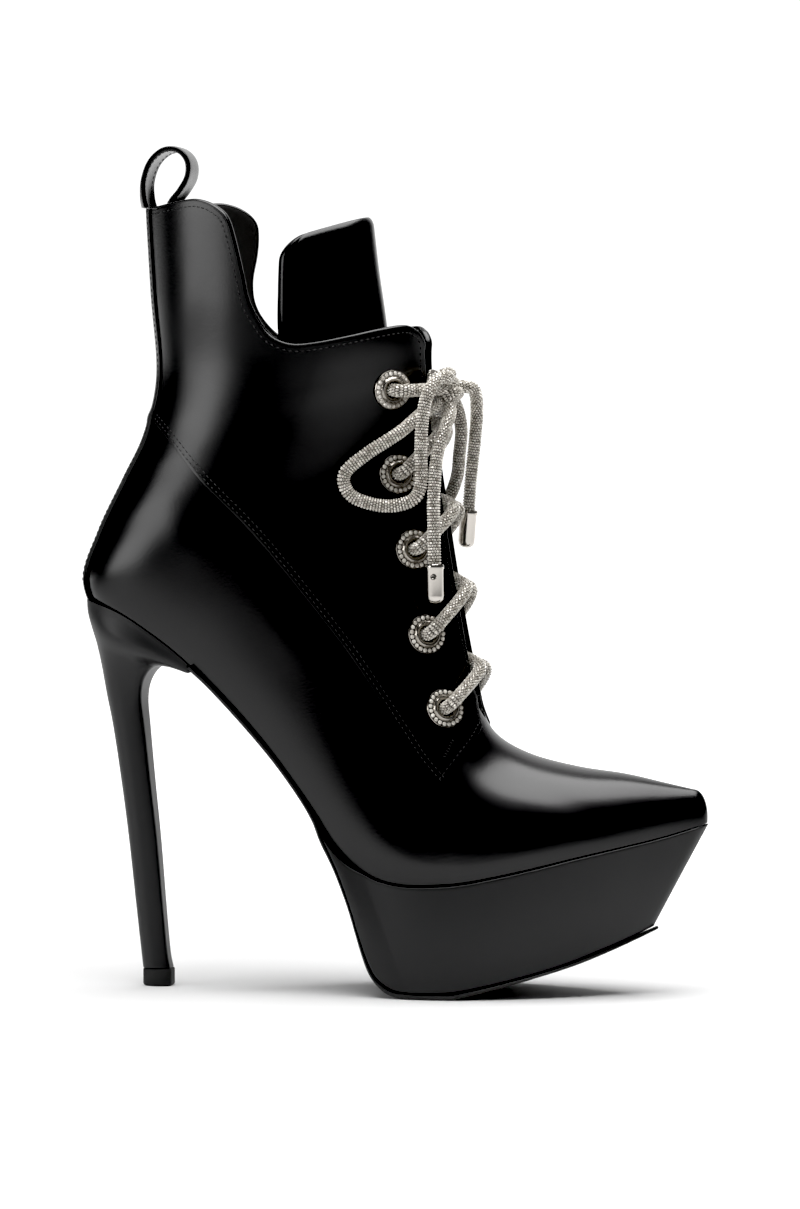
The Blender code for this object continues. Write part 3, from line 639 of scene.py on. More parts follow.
def strip_vertex(column, row):
    """Point of the back strip."""
    share = 2 * column / STRIP_COLUMNS - 1
    side = MEDIAL if share > 0 else LATERAL
    low, high = strip_limits[column]
    place = low + (high - low) * row / STRIP_ROWS
    turn = back_turn(place, side, abs(share) * STRIP_HALF)
    from_seam = (last_point(place, turn, side).z - CROSSING_Z) / CROSSING_HALF
    return shell_point(place, turn, side, STRIP_RISE + CROSSING_RISE * math.exp(-from_seam ** 2))


strip = bmesh.new()
add_sheet(strip, STRIP_COLUMNS, STRIP_ROWS, strip_vertex, True)
back_strip = keep("back_strip", strip, (LEATHER,), "black_leather", "upper")
add_wall(back_strip, STRIP_RISE - 0.05, 0.5)

# Stitching
# Black bonded thread in even lockstitches: a double row along each quarter's seam and one row inside
# the rim, the flap's edge and the back strip. Each stitch sits half sunk in the leather.
STITCH_PITCH = 2.3
STITCH_SIZE = Vector((0.86, 0.28, 0.24))
# Distances of the rows from the quarter's seam, from the rim and the front edge, and from the strip's edge
SEAM_INSETS = (1.4, 3.2)
EDGE_INSET = 2.2
STRIP_INSET = 1.8
# Bar tacks: one over the quarter's point in the side view, and one at the foot of the strip
TACK = (149.3, 97.6)
TACK_SLOPE = 0.4
STRIP_TACK_PLACE = 14.3
STRIP_TACK_STEP = 0.07
STRIP_TACK_OUT = 1.2


def thread(name, colour):
    """Twisted and waxed sewing thread."""
    material, tree, shader = new_finish(name, {"Base Color": (*colour, 1), "Roughness": 0.38})
    twist = add_texture(tree, "ShaderNodeTexNoise", {"Scale": 5000})
    add_bump(tree, shader, twist.outputs["Fac"], 0.4, 0.05)
    return material


THREAD = thread("black thread", (0.007, 0.007, 0.0072))


def add_stitch(bm, at, run, up):
    """Adds one stitch that lies along a direction."""
    over = up.cross(run).normalized()
    up = run.cross(over)
    pose = Matrix((run, over, up)).transposed().to_4x4()
    pose = Matrix.Translation(to_frame(at)) @ pose @ Matrix.Diagonal((*(STITCH_SIZE * MM), 1))
    bmesh.ops.create_icosphere(bm, subdivisions=1, radius=1, matrix=pose)


def stitch_track(bm, track, side, rise, inset):
    """Adds a row of stitches at an inset to the left of a track, seen from outside."""
    reach = sum((last_point(*b, side) - last_point(*a, side)).length for a, b in zip(track, track[1:]))
    steps = even_track(track, side, round(reach / STITCH_PITCH))
    for before, here, after in zip(steps, steps[1:], steps[2:]):
        up = outward(*here, side)
        run = (last_point(*after, side) - last_point(*before, side)).normalized()
        left = up.cross(run) * -side
        spot = leather_point(*here, side, rise) + left * inset
        add_stitch(bm, spot, run, up)


for side, side_name in SIDES:
    stitches = bmesh.new()
    for inset in SEAM_INSETS:
        stitch_track(stitches, tracks[side]["seam"], side, QUARTER_RISE, inset)
    stitch_track(stitches, tracks[side]["rim"], side, QUARTER_RISE, -EDGE_INSET)
    stitch_track(stitches, tracks[side]["front"], side, QUARTER_RISE, EDGE_INSET)
    edge = [(place, back_turn(place, side, STRIP_HALF - STRIP_INSET)) for place in range(14, 21)]
    stitch_track(stitches, edge, side, STRIP_RISE, 0)
    tack = [find_on_side(TACK[0] + TACK_SLOPE * step, TACK[1] + step) for step in range(-3, 4)]
    for spot in tack:
        up = outward(*spot, side)
        across = up.cross(last_point(*tack[-1], side) - last_point(*tack[0], side))
        add_stitch(stitches, leather_point(*spot, side, QUARTER_RISE), across.normalized(), up)
    for step in range(4):
        spot = (STRIP_TACK_PLACE + STRIP_TACK_STEP * step, back_turn(STRIP_TACK_PLACE, side, STRIP_TACK_OUT))
        at = shell_point(*spot, side, STRIP_RISE + 0.2)
        add_stitch(stitches, at, Vector((0, 1, 0)), outward(*spot, side))
    keep("stitching_" + side_name, stitches, (THREAD,), "black_leather", "upper")

# Pull loop
# A folded leather strap at the back of the collar. Its rear leg is sewn on the back strip and its
# front leg inside the collar, so that it stands up as a loop for a finger.
LOOP_WIDTH = 17.6
LOOP_THICK = 2.2
# Middle of the strap: x, z, and how far its edges curl forward round the collar
LOOP = ((25.5, 309.9, 2.4), (25.0, 314.0, 1.8), (25.6, 320.0, 1.0), (28.4, 326.4, 0.4), (33.0, 330.4, 0.1),
        (37.6, 330.4, 0.0), (40.4, 327.2, 0.0), (40.2, 322.4, 0.2), (37.0, 317.6, 0.8), (33.2, 313.6, 1.6),
        (30.9, 309.8, 2.4), (30.5, 305.0, 2.7), (30.5, 299.0, 2.7), (30.7, 292.0, 2.7))
LOOP_CROWN = 0.25
LOOP_COLUMNS = 16
LOOP_ROWS = 104
# Stitches: share of the half-width where a row lies, the steps that are sewn, and all steps of the strap
LOOP_STITCH = 0.76
LOOP_STITCHES = range(2, 34)
LOOP_STEPS = 46
loop_rows = numbered(LOOP)


def loop_point(share, along):
    """Middle of the strap's thickness, across its width and along its length."""
    x, z, curl = (smooth(loop_rows, column, along * (len(LOOP) - 1)) for column in (1, 2, 3))
    return Vector((x + curl * share * share, LOOP_WIDTH / 2 * share, z))


def loop_out(share, along):
    """Direction out of the loop."""
    run = loop_point(share, min(along + 0.01, 1)) - loop_point(share, max(along - 0.01, 0))
    return Vector((-run.z, 0, run.x)).normalized()


def loop_vertex(column, row):
    """Point of the strap's outer face, a little crowned between its edges."""
    share = 2 * column / LOOP_COLUMNS - 1
    along = row / LOOP_ROWS
    crown = LOOP_CROWN * (1 - share ** 4)
    return loop_point(share, along) + loop_out(share, along) * (LOOP_THICK / 2 - LOOP_CROWN + crown)


strap = bmesh.new()
add_sheet(strap, LOOP_COLUMNS, LOOP_ROWS, loop_vertex, False)
pull_loop = keep("pull_loop_strap", strap, (LEATHER,), "black_leather", "pull_loop")
add_wall(pull_loop, LOOP_THICK - 0.2, 0.6)
loop_stitches = bmesh.new()
for share in (-LOOP_STITCH, LOOP_STITCH):
    for step in LOOP_STITCHES:
        along = step / LOOP_STEPS
        run = (loop_point(share, along + 0.01) - loop_point(share, along - 0.01)).normalized()
        up = loop_out(share, along)
        add_stitch(loop_stitches, loop_point(share, along) + up * (LOOP_THICK / 2 - 0.05), run, up)
keep("pull_loop_stitching", loop_stitches, (THREAD,), "black_leather", "pull_loop")

# Tongue
# A padded leather plate, foam between two panels that are sewn together round the edge. It is fixed
# under the throat and stands up inside the flaps to above the collar.
TONGUE = (
    # front x, front z, drop and depth to the edges, half-width, thickness
    (114.6, 306.4, 10.0, 31.0, 24.0, 5.2), (115.3, 303.6, 10.0, 33.0, 25.0, 5.5),
    (117.5, 285.0, 8.0, 36.0, 25.5, 6.0), (120.8, 262.0, 6.0, 39.0, 25.0, 6.0),
    (123.0, 238.0, 5.0, 36.0, 21.5, 6.0), (124.0, 212.0, 5.0, 31.0, 17.5, 6.0),
    (126.5, 186.0, 7.0, 28.0, 16.5, 5.5), (130.0, 160.0, 10.0, 25.0, 15.5, 5.0),
    (134.5, 136.0, 12.0, 21.0, 15.0, 5.0), (139.0, 122.0, 13.0, 17.0, 14.5, 4.5),
    (144.5, 111.5, 13.0, 13.0, 14.0, 4.0), (150.5, 104.0, 12.0, 9.0, 13.5, 4.0),
    (158.0, 100.0, 10.0, 5.0, 13.0, 3.5), (166.0, 97.8, 8.0, 2.0, 12.0, 3.0),
)
TONGUE_ARC = math.radians(80)
TONGUE_HALF = 43.0
TONGUE_AROUND = 160
TONGUE_ALONG = 150
TONGUE_EDGE = 2.7
TONGUE_TOP = 4.5
TONGUE_CORNER = 9.0
TONGUE_FOOT = 100
# Groove of the edge seam: distance from the edge, half-width, depth, and where it fades at the top
TONGUE_SEAM = 3.4
GROOVE_HALF = 0.5
GROOVE_DEEP = 0.7
GROOVE_FADE = 6
tongue_rows = numbered(TONGUE)


def rounded_loss(distance, radius):
    """How much a rounded corner takes off at a distance from its face."""
    if distance >= radius:
        return 0.0
    return radius - math.sqrt(radius ** 2 - (radius - distance) ** 2)


def tongue_face(share, along):
    """Front face of the tongue, the direction into it, its thickness and the distance from its top."""
    at = along * (len(TONGUE) - 1)
    front_x, front_z, drop, depth, wide, thick = (smooth(tongue_rows, c, at) for c in range(1, 7))
    down = TONGUE[0][1] - front_z
    angle = share * TONGUE_ARC * (1 - rounded_loss(down, TONGUE_CORNER) / TONGUE_HALF)
    back = (1 - math.cos(angle)) / (1 - math.cos(TONGUE_ARC))
    out = wide * math.sin(angle) / math.sin(TONGUE_ARC)
    point = Vector((front_x - depth * back, out, front_z - drop * back))
    across = Vector((-depth * math.sin(angle) / (1 - math.cos(TONGUE_ARC)),
                     wide * math.cos(angle) / math.sin(TONGUE_ARC), 0))
    higher = max(at - 0.4, 0)
    lower = min(at + 0.4, len(TONGUE) - 1)
    up = Vector((smooth(tongue_rows, 1, higher) - smooth(tongue_rows, 1, lower), 0,
                 smooth(tongue_rows, 2, higher) - smooth(tongue_rows, 2, lower)))
    return point, up.cross(across).normalized(), thick, down


def swell(distance, radius):
    """Share of a padded plate's thickness at a distance from its edge."""
    part = min(max(distance / radius, 0), 1)
    return math.sqrt(1 - (1 - part) ** 2)


def tongue_vertex(column, row):
    """Point of the padded plate, front face first and then the face behind."""
    turn = 2 * math.pi * column / TONGUE_AROUND
    share = -math.cos(turn)
    along = 1 - math.cos(row / TONGUE_ALONG * math.pi / 2)
    point, inward, thick, down = tongue_face(share, along)
    edge = TONGUE_HALF * (1 - abs(share))
    padding = swell(edge, TONGUE_EDGE) * swell(down, TONGUE_TOP)
    padding *= swell((1 - along) * TONGUE_FOOT, TONGUE_EDGE)
    if turn > math.pi:
        return point + inward * thick / 2 * (1 + padding)
    groove = GROOVE_DEEP * math.exp(-((edge - TONGUE_SEAM) / GROOVE_HALF) ** 2) * min(down / GROOVE_FADE, 1)
    return point + inward * (thick / 2 * (1 - padding) + groove)


pad = closed_sheet(TONGUE_AROUND, TONGUE_ALONG, tongue_vertex)
tongue = keep("tongue_pad", pad, (LEATHER,), "black_leather", "tongue")

# Insole
# The fibre board and its thin leather sock, from the heel seat to the toe. The board is tacked to the
# last, the upper is pulled over its edge and glued under it, and the sock is glued on top.
INSOLE_THICK = 2.5
INSOLE_LOW = 0.2
INSOLE_GAP = 0.5
INSOLE_START = 5.0
INSOLE_END = 243.0
INSOLE_ENDS = 16
INSOLE_ALONG = 120
INSOLE_AROUND = 28


def edge_width(x, side):
    """Half-width of the upper along its lower edge."""
    place, turn = find_on_side(x, feather_z(x))
    return abs(last_point(place, turn, side).y)


insole_rows = []
for row in range(INSOLE_ALONG + 1):
    share = (1 - math.cos(math.pi * row / INSOLE_ALONG)) / 2
    x = INSOLE_START + (INSOLE_END - INSOLE_START) * share
    closing = min(1, math.sqrt(max(0, 1 - (2 * share - 1) ** INSOLE_ENDS)))
    widths = [max(edge_width(x, side) - WALL - INSOLE_GAP, 0) * closing for side in (LATERAL, MEDIAL)]
    insole_rows.append((x, *widths))


def insole_vertex(column, row):
    """Point of the insole, across its top and back under it."""
    x, lateral, medial = insole_rows[row]
    turn = 2 * math.pi * column / INSOLE_AROUND
    share = -math.cos(turn)
    out = share * (medial if share > 0 else lateral)
    lift = INSOLE_THICK if turn <= math.pi else INSOLE_LOW
    if column in (0, INSOLE_AROUND // 2, INSOLE_AROUND):
        lift = INSOLE_THICK / 2
    return Vector((x, out, feather_z(x) + lift))


SOCK = leather("insole leather", (0.03, 0.028, 0.026), 0.6, 0.05)
board = closed_sheet(INSOLE_AROUND, INSOLE_ALONG, insole_vertex)
keep("insole_sock", board, (SOCK,), "insole_leather", "insole")

# Platform
# A moulded block under the forefoot, wrapped in satin leather that is turned in along its top and
# bottom edges. The upper is glued on it, and its rear face slopes back up to the arch.
PLATFORM_TOP = (98.2, 248.6)
PLATFORM_SOLE = (
    # share of the length, x, z, lateral, medial
    (0.00, 122.5, 8.4, 30.5, 28.0), (0.04, 126.0, 4.9, 31.5, 29.4), (0.10, 132.0, 2.6, 33.0, 31.5),
    (0.20, 142.0, 2.3, 34.2, 33.6), (0.30, 152.0, 2.9, 33.8, 33.6), (0.42, 165.0, 5.4, 31.2, 31.0),
    (0.55, 180.0, 9.0, 26.4, 26.0), (0.68, 194.5, 13.3, 20.4, 20.0), (0.80, 207.5, 18.3, 13.8, 13.4),
    (0.90, 218.0, 22.7, 8.0, 7.8), (0.97, 225.0, 26.0, 3.4, 3.4), (1.00, 227.0, 27.0, 0.8, 0.8),
)
PLATFORM_EDGE = 1.0
PLATFORM_TIP = 1.2
PLATFORM_BULGE = 1.2
PLATFORM_LONG = 104
GAP_TO_UPPER = 0.35
# Rear face on the middle line: z, x
PLATFORM_BACK = ((3.0, 127.0), (7.2, 121.9), (12.4, 118.6), (23.0, 114.8), (36.0, 110.8), (50.0, 105.4),
                 (61.4, 99.8), (69.9, 96.4))
REAR_SHARE = 0.12
REAR_ROUND = 1.4
FOLD_ROUND = 1.1
PLATFORM_SIDE = 110
PLATFORM_SPREAD = 1.3
PLATFORM_REAR = 20
# Shares of the height at the rows, close together at the folds; the first and last close the block
PLATFORM_RISES = (0, 0, 0.006, 0.014, 0.024, 0.04, 0.1, 0.18, 0.26, 0.34, 0.42, 0.5, 0.58, 0.66, 0.74, 0.82,
                  0.9, 0.955, 0.972, 0.984, 0.994, 1, 1)
platform_columns = []
for column in range(PLATFORM_SIDE + 1):
    share = (column / PLATFORM_SIDE) ** PLATFORM_SPREAD
    top_x = PLATFORM_TOP[0] + share * (PLATFORM_TOP[1] - PLATFORM_TOP[0])
    low = [smooth(PLATFORM_SOLE, c, share) for c in range(1, 5)]
    widths = [max(edge_width(top_x, side) + PLATFORM_EDGE, PLATFORM_TIP) for side in (LATERAL, MEDIAL)]
    platform_columns.append((share, top_x, low, widths))


def platform_point(column, rise, side, middle):
    """Point of the platform's outline at a share of its height, or on its middle line."""
    share, top_x, low, widths = platform_columns[column]
    top_z = feather_z(top_x) - GAP_TO_UPPER
    x = low[0] + (top_x - low[0]) * rise
    z = low[1] + (top_z - low[1]) * rise
    x += (smooth(PLATFORM_BACK, 1, z) - x) * max(0, 1 - share / REAR_SHARE)
    if middle:
        return Vector((x, 0, z))
    foot, top = (low[2], widths[0]) if side == LATERAL else (low[3], widths[1])
    tall = top_z - low[1]
    wide = foot + (top - foot) * rise + PLATFORM_BULGE * math.sin(math.pi * rise)
    wide -= rounded_loss(share * PLATFORM_LONG, REAR_ROUND)
    wide -= rounded_loss(rise * tall, FOLD_ROUND) + rounded_loss((1 - rise) * tall, FOLD_ROUND)
    return Vector((x, side * max(wide, 0), z))


def platform_vertex(column, row):
    """Point round the platform: lateral side, medial side and across the rear face."""
    rise = PLATFORM_RISES[row]
    middle = row in (0, len(PLATFORM_RISES) - 1)
    if column <= PLATFORM_SIDE:
        return platform_point(column, rise, LATERAL, middle)
    column -= PLATFORM_SIDE
    if column <= PLATFORM_SIDE:
        return platform_point(PLATFORM_SIDE - column, rise, MEDIAL, middle)
    column -= PLATFORM_SIDE
    start = platform_point(0, rise, MEDIAL, middle)
    finish = platform_point(0, rise, LATERAL, middle)
    return start.lerp(finish, column / PLATFORM_REAR)


WRAP = leather("wrapped leather", (0.007, 0.007, 0.0073), 0.45, 0.03)
block = closed_sheet(2 * PLATFORM_SIDE + PLATFORM_REAR, len(PLATFORM_RISES) - 1, platform_vertex)
keep("platform_wrapped", block, (WRAP,), "wrapped_leather", "platform")

# Outsole
# One thin black sheet along the arch, down the platform's rear face and under it to the toe, glued on
# and trimmed at the edge.
OUTSOLE = (
    # x, z of the face that is glued on, lateral, medial
    (45.8, 129.0, 24.6, 24.6), (54.4, 121.1, 24.6, 24.0), (67.8, 107.1, 25.4, 24.2),
    (80.0, 93.2, 26.4, 25.0), (90.0, 79.9, 27.3, 25.6), (96.2, 69.9, 28.0, 26.0),
    (99.6, 61.4, 28.2, 26.4), (105.2, 50.0, 28.6, 26.6), (110.6, 36.0, 29.0, 26.8),
    (114.6, 23.0, 29.4, 27.2), (118.4, 12.4, 30.0, 27.8), (121.7, 7.2, 30.6, 28.6),
    (126.6, 3.4, 31.8, 30.0), (133.0, 2.2, 33.4, 32.2), (142.0, 2.0, 34.4, 33.8),
    (150.0, 2.0, 34.2, 34.0), (158.0, 3.5, 33.0, 32.8), (170.0, 6.3, 30.0, 29.8),
    (184.0, 9.9, 25.2, 24.8), (198.0, 14.2, 19.2, 18.8), (210.0, 18.9, 12.9, 12.5),
    (220.0, 23.3, 7.3, 7.1), (226.4, 26.3, 3.2, 3.2), (228.4, 27.3, 0.9, 0.9),
)
SOLE_THICK = 2.0
TOE_THICK = 1.1
SOLE_GLUE = 0.2
# The part that stands flat on the floor, and the lengths over which the sheet thins out past it
TREAD_START = 134
TREAD_END = 150
REAR_TAPER = 20
TOE_TAPER = 34
OUTSOLE_AROUND = 40
glued = through(OUTSOLE, 5)
sole_faces = []
for i, (x, z, lateral, medial) in enumerate(glued):
    before = glued[max(i - 1, 0)]
    after = glued[min(i + 1, len(glued) - 1)]
    slope = Vector((after[0] - before[0], after[1] - before[1])).normalized()
    top = max(z, SOLE_THICK) - SOLE_GLUE
    thinning = min(max((x - TREAD_END) / TOE_TAPER, (TREAD_START - x) / REAR_TAPER, 0), 1)
    thick = SOLE_THICK + (TOE_THICK - SOLE_THICK) * thinning
    below = (x + slope.y * thick, max(top - slope.x * thick, 0))
    if TREAD_START < x < TREAD_END + 0.1:
        below = (x, 0)
    sole_faces.append(((x, top), below, lateral, medial))


def outsole_vertex(column, row):
    """Point of the sheet, across its glued face and back across its walked face."""
    above, below, lateral, medial = sole_faces[row]
    turn = 2 * math.pi * column / OUTSOLE_AROUND
    share = -math.cos(turn)
    out = share * (medial if share > 0 else lateral)
    x, z = above if turn <= math.pi else below
    if column in (0, OUTSOLE_AROUND // 2, OUTSOLE_AROUND):
        x = (above[0] + below[0]) / 2
        z = (above[1] + below[1]) / 2
    return Vector((x, out, z))


def moulded(name, colour, roughness, scale, depth):
    """Moulded or rolled rubber with a fine even texture."""
    material, tree, shader = new_finish(name, {"Base Color": (*colour, 1)})
    grit = add_texture(tree, "ShaderNodeTexNoise", {"Scale": scale, "Detail": 5})
    scuff = add_texture(tree, "ShaderNodeTexNoise", {"Scale": 60})
    add_bump(tree, shader, grit.outputs["Fac"], 0.5, depth)
    vary_gloss(tree, shader, scuff.outputs["Fac"], roughness * 0.85, min(1, roughness * 1.2))
    return material


SHEET = moulded("outsole sheet", (0.011, 0.011, 0.011), 0.5, 1800, 0.06)
sole = bmesh.new()
add_sheet(sole, OUTSOLE_AROUND, len(sole_faces) - 1, outsole_vertex, False)
bmesh.ops.remove_doubles(sole, verts=sole.verts, dist=WELD)
bmesh.ops.holes_fill(sole, edges=[edge for edge in sole.edges if edge.is_boundary], sides=0)
bmesh.ops.recalc_face_normals(sole, faces=sole.faces)
outsole = keep("outsole_sheet", sole, (SHEET,), "outsole_sheet", "outsole")
outsole.data.set_sharp_from_angle(angle=math.radians(35))

# Heel
# A slim moulded heel wrapped in the platform's leather. Its cupped top takes the heel of the upper,
# and it runs down to a narrow stem with a round back and a flat breast.
HEEL = (
    # back x, back z, breast x, breast z, half-width, share taken from the upper's edge
    (0.5, 154.6, 45.4, 129.4, 25.0, 1.00), (0.9, 150.5, 44.6, 126.9, 24.0, 0.92),
    (2.1, 144.5, 35.5, 128.3, 20.0, 0.35), (3.9, 136.8, 29.0, 127.8, 15.8, 0.0),
    (5.7, 128.5, 24.6, 122.8, 12.6, 0.0), (7.9, 116.0, 23.1, 115.0, 10.2, 0.0),
    (10.4, 103.0, 24.2, 103.0, 8.6, 0.0), (13.8, 80.0, 26.5, 80.0, 7.2, 0.0),
    (16.6, 58.0, 28.8, 58.0, 6.3, 0.0), (19.3, 33.0, 30.9, 33.0, 5.6, 0.0),
    (21.4, 14.0, 32.6, 14.0, 5.3, 0.0), (22.2, 7.2, 33.8, 7.2, 5.4, 0.0),
)
HEEL_SIDE = 36
HEEL_BREAST = 12
HEEL_LEVELS = 110
BREAST_ROUND = 0.9
LEVEL_SPREAD = 1.1
# The seat: gap under the upper, height of the upper's edge at the back, share of the length over which
# the back rounds off, extra room behind the edge, and how far forward the two allowances reach
SEAT_GAP = 0.3
SEAT_Z = 154.9
SEAT_ROUND = 0.012
SEAT_BACK = 0.8
SEAT_BACK_REACH = 5
SEAT_REACH = 40
# D outline: share of its length that is the round back, and how much it narrows to the breast
BACK_SHARE = 0.55
BREAST_NARROWS = 0.25
heel_rows = numbered(HEEL)


def round_back(share):
    """Width of a D outline from its round back to its flat breast."""
    if share < BACK_SHARE:
        return math.sqrt(1 - (1 - share / BACK_SHARE) ** 2)
    return 1 - BREAST_NARROWS * ((share - BACK_SHARE) / (1 - BACK_SHARE)) ** 3


def d_outline(column, side_steps, breast_steps):
    """Share from back to breast, side and place across the breast for a column round a D outline."""
    if column <= side_steps:
        return (1 - math.cos(math.pi * column / side_steps)) / 2, LATERAL, None
    column -= side_steps
    if column <= breast_steps:
        return 1.0, LATERAL, column / breast_steps
    column -= breast_steps
    return (1 + math.cos(math.pi * column / side_steps)) / 2, MEDIAL, None


def heel_point(level, share, side):
    """Point of the heel's outline at a level."""
    back_x, back_z, breast_x, breast_z, wide, seat_share = (smooth(heel_rows, c, level) for c in range(1, 7))
    seat_share = min(max(seat_share, 0), 1)
    x = back_x + (breast_x - back_x) * share
    flat_z = back_z + (breast_z - back_z) * share
    seat_z = feather_z(x) - SEAT_GAP - (SEAT_Z - back_z)
    z = flat_z + (seat_z - flat_z) * seat_share ** 3
    plain = wide * round_back(share)
    out = plain
    if seat_share > 0.001:
        seat_x = x + STRIP_RISE * max(0, 1 - x / SEAT_REACH) + SEAT_BACK * max(0, 1 - x / SEAT_BACK_REACH)
        closing = min(1, math.sqrt(share / SEAT_ROUND))
        out = plain + (edge_width(seat_x, side) * closing - plain) * seat_share
    out -= rounded_loss((1 - share) * (breast_x - back_x), BREAST_ROUND)
    return Vector((x, side * max(out, 0), z))


def heel_vertex(column, row):
    """Point round the heel; the first and last rows close it on its middle line."""
    level = (len(HEEL) - 1) * min(max((row - 1) / (HEEL_LEVELS - 2), 0), 1) ** LEVEL_SPREAD
    share, side, across = d_outline(column, HEEL_SIDE, HEEL_BREAST)
    point = heel_point(level, share, side)
    if across is not None:
        point = point.lerp(heel_point(level, 1.0, MEDIAL), across)
    if row in (0, HEEL_LEVELS):
        point.y = 0
    return point


stem = closed_sheet(2 * HEEL_SIDE + HEEL_BREAST, HEEL_LEVELS, heel_vertex)
heel = keep("heel_wrapped", stem, (WRAP,), "wrapped_leather", "heel")
heel.data.set_sharp_from_angle(angle=math.radians(60))

# Heel lift
# A small D-shaped tip of hard rubber under the stem, moulded in one piece and held by a pin. Its lower
# edge is a little worn round.
# z, back x, front x, half-width
LIFT = ((0.0, 22.9, 33.7, 4.9), (0.3, 22.5, 34.1, 5.3), (0.8, 22.2, 34.3, 5.5), (6.5, 22.2, 34.3, 5.5),
        (6.9, 22.5, 34.0, 5.2))
LIFT_SIDE = 24
LIFT_FRONT = 8


def lift_vertex(column, row):
    """Point round the lift; the first and last rows close it on its middle line."""
    z, back_x, front_x, wide = LIFT[min(max(row - 1, 0), len(LIFT) - 1)]
    share, side, across = d_outline(column, LIFT_SIDE, LIFT_FRONT)
    out = wide * round_back(share) - rounded_loss((1 - share) * (front_x - back_x), BREAST_ROUND)
    point = Vector((back_x + (front_x - back_x) * share, side * out, z))
    if across is not None:
        point.y *= 1 - 2 * across
    if row in (0, len(LIFT) + 1):
        point.y = 0
    return point


RUBBER = moulded("heel lift rubber", (0.012, 0.012, 0.012), 0.65, 2600, 0.08)
tip = closed_sheet(2 * LIFT_SIDE + LIFT_FRONT, len(LIFT) + 1, lift_vertex)
lift = keep("heel_lift_tip", tip, (RUBBER,), "lift_rubber", "heel_lift")
lift.data.set_sharp_from_angle(angle=math.radians(40))

# Eyelets
# Flanged metal rings clenched through each flap, five a side. A round polished lip lines the hole, and
# a ring of small clear stones is set in claws round it.
EYELETS = ((125.4, 237.8), (127.6, 204.6), (134.0, 175.1), (139.3, 141.9), (147.0, 113.0))
# Turned outline: radius, height above the last
EYELET = ((3.2, -2.6), (3.8, -3.0), (4.3, -2.6), (4.3, 1.3), (7.5, 1.3), (7.8, 1.6), (7.6, 1.95), (5.5, 2.0),
          (5.2, 2.6), (4.7, 3.05), (4.0, 3.05), (3.4, 2.6), (3.2, 1.9))
EYELET_STEPS = 40
EYELET_STONES = 21
STONE_CIRCLE = 6.5
STONE_MIDDLE = 2.25
STONE_DEEP = 0.75
STONE_RADIUS = 0.93
STONE_TAPER = 0.55


def eyelet_frame(number, side):
    """Centre of an eyelet on the last, and the direction it faces."""
    place, turn = find_on_side(*EYELETS[number - 1])
    return last_point(place, turn, side), outward(place, turn, side)


def metal(name, colour, roughness):
    """Polished metal with cloudy wear."""
    material, tree, shader = new_finish(name, {"Base Color": (*colour, 1), "Metallic": 1.0})
    wear = add_texture(tree, "ShaderNodeTexNoise", {"Scale": 700, "Detail": 4})
    vary_gloss(tree, shader, wear.outputs["Fac"], roughness * 0.6, roughness * 1.6)
    return material


def stones_with_painted_glints(name, glint_colour, dull_colour, scale):
    """Foil-backed clear stones with painted glints: a bright colour stands in for the light that the foil
    throws back, and each stone's own brightness for its facets catching the light or not.
    """
    clear = {"Metallic": 0.2, "Roughness": 0.14, "Coat Weight": 0.6, "Coat Roughness": 0.03}
    material, tree, shader = new_finish(name, clear)
    cells = add_texture(tree, "ShaderNodeTexVoronoi", {"Scale": scale})
    split = tree.nodes.new("ShaderNodeSeparateColor")
    tree.links.new(cells.outputs["Color"], split.inputs["Color"])
    vary_colour(tree, shader, split.outputs["Red"], dull_colour, glint_colour)
    return material


SETTING = metal("stone setting metal", (0.33, 0.31, 0.28), 0.16)
# The eyelet stones' two colours are painted glints: near-white and a duller grey, given at random stone by
# stone
CRYSTAL = stones_with_painted_glints("clear stones", (1.0, 0.97, 0.91), (0.55, 0.51, 0.45), 900)


def add_turned(bm, outline, pose, steps):
    """Adds a closed turned outline, set in place by a pose."""
    corners = [bm.verts.new((radius, 0, height)) for radius, height in outline]
    lines = [bm.edges.new((a, b)) for a, b in zip(corners, corners[1:])]
    if outline[0][0] > 0.01:
        lines.append(bm.edges.new((corners[-1], corners[0])))
    bmesh.ops.spin(bm, geom=corners + lines, cent=(0, 0, 0), axis=(0, 0, 1), angle=2 * math.pi,
                   steps=steps, use_merge=True)
    found = set(corners)
    waiting = list(corners)
    while waiting:
        vert = waiting.pop()
        for edge in vert.link_edges:
            other = edge.other_vert(vert)
            if other not in found:
                found.add(other)
                waiting.append(other)
    bmesh.ops.transform(bm, matrix=pose, verts=list(found))


def facing_pose(centre, facing):
    """Pose in millimetres that stands a local upright along a direction."""
    turn = facing.to_track_quat("Z", "Y").to_matrix().to_4x4()
    return Matrix.Translation(to_frame(centre)) @ turn @ Matrix.Scale(MM, 4)


for side, side_name in SIDES:
    for number in range(1, len(EYELETS) + 1):
        centre, facing = eyelet_frame(number, side)
        pose = facing_pose(centre, facing)
        ring = bmesh.new()
        add_turned(ring, EYELET, pose, EYELET_STEPS)
        bmesh.ops.recalc_face_normals(ring, faces=ring.faces)
        node = "eyelet_%s_%d" % (side_name, number)
        lip = keep(node + "_ring", ring, (SETTING,), "stone_metal", node)
        lip.data.set_sharp_from_angle(angle=math.radians(40))
        stones = bmesh.new()
        for step in range(EYELET_STONES):
            angle = 2 * math.pi * step / EYELET_STONES
            spot = Matrix.Rotation(angle, 4, "Z") @ Matrix.Translation((STONE_CIRCLE, 0, STONE_MIDDLE))
            bmesh.ops.create_cone(stones, cap_ends=True, segments=8, radius1=STONE_RADIUS,
                                  radius2=STONE_RADIUS * STONE_TAPER, depth=STONE_DEEP, matrix=pose @ spot)
        gems = keep(node + "_stones", stones, (CRYSTAL,), "stone_metal", node)
        gems.data.set_sharp_from_angle(angle=math.radians(15))

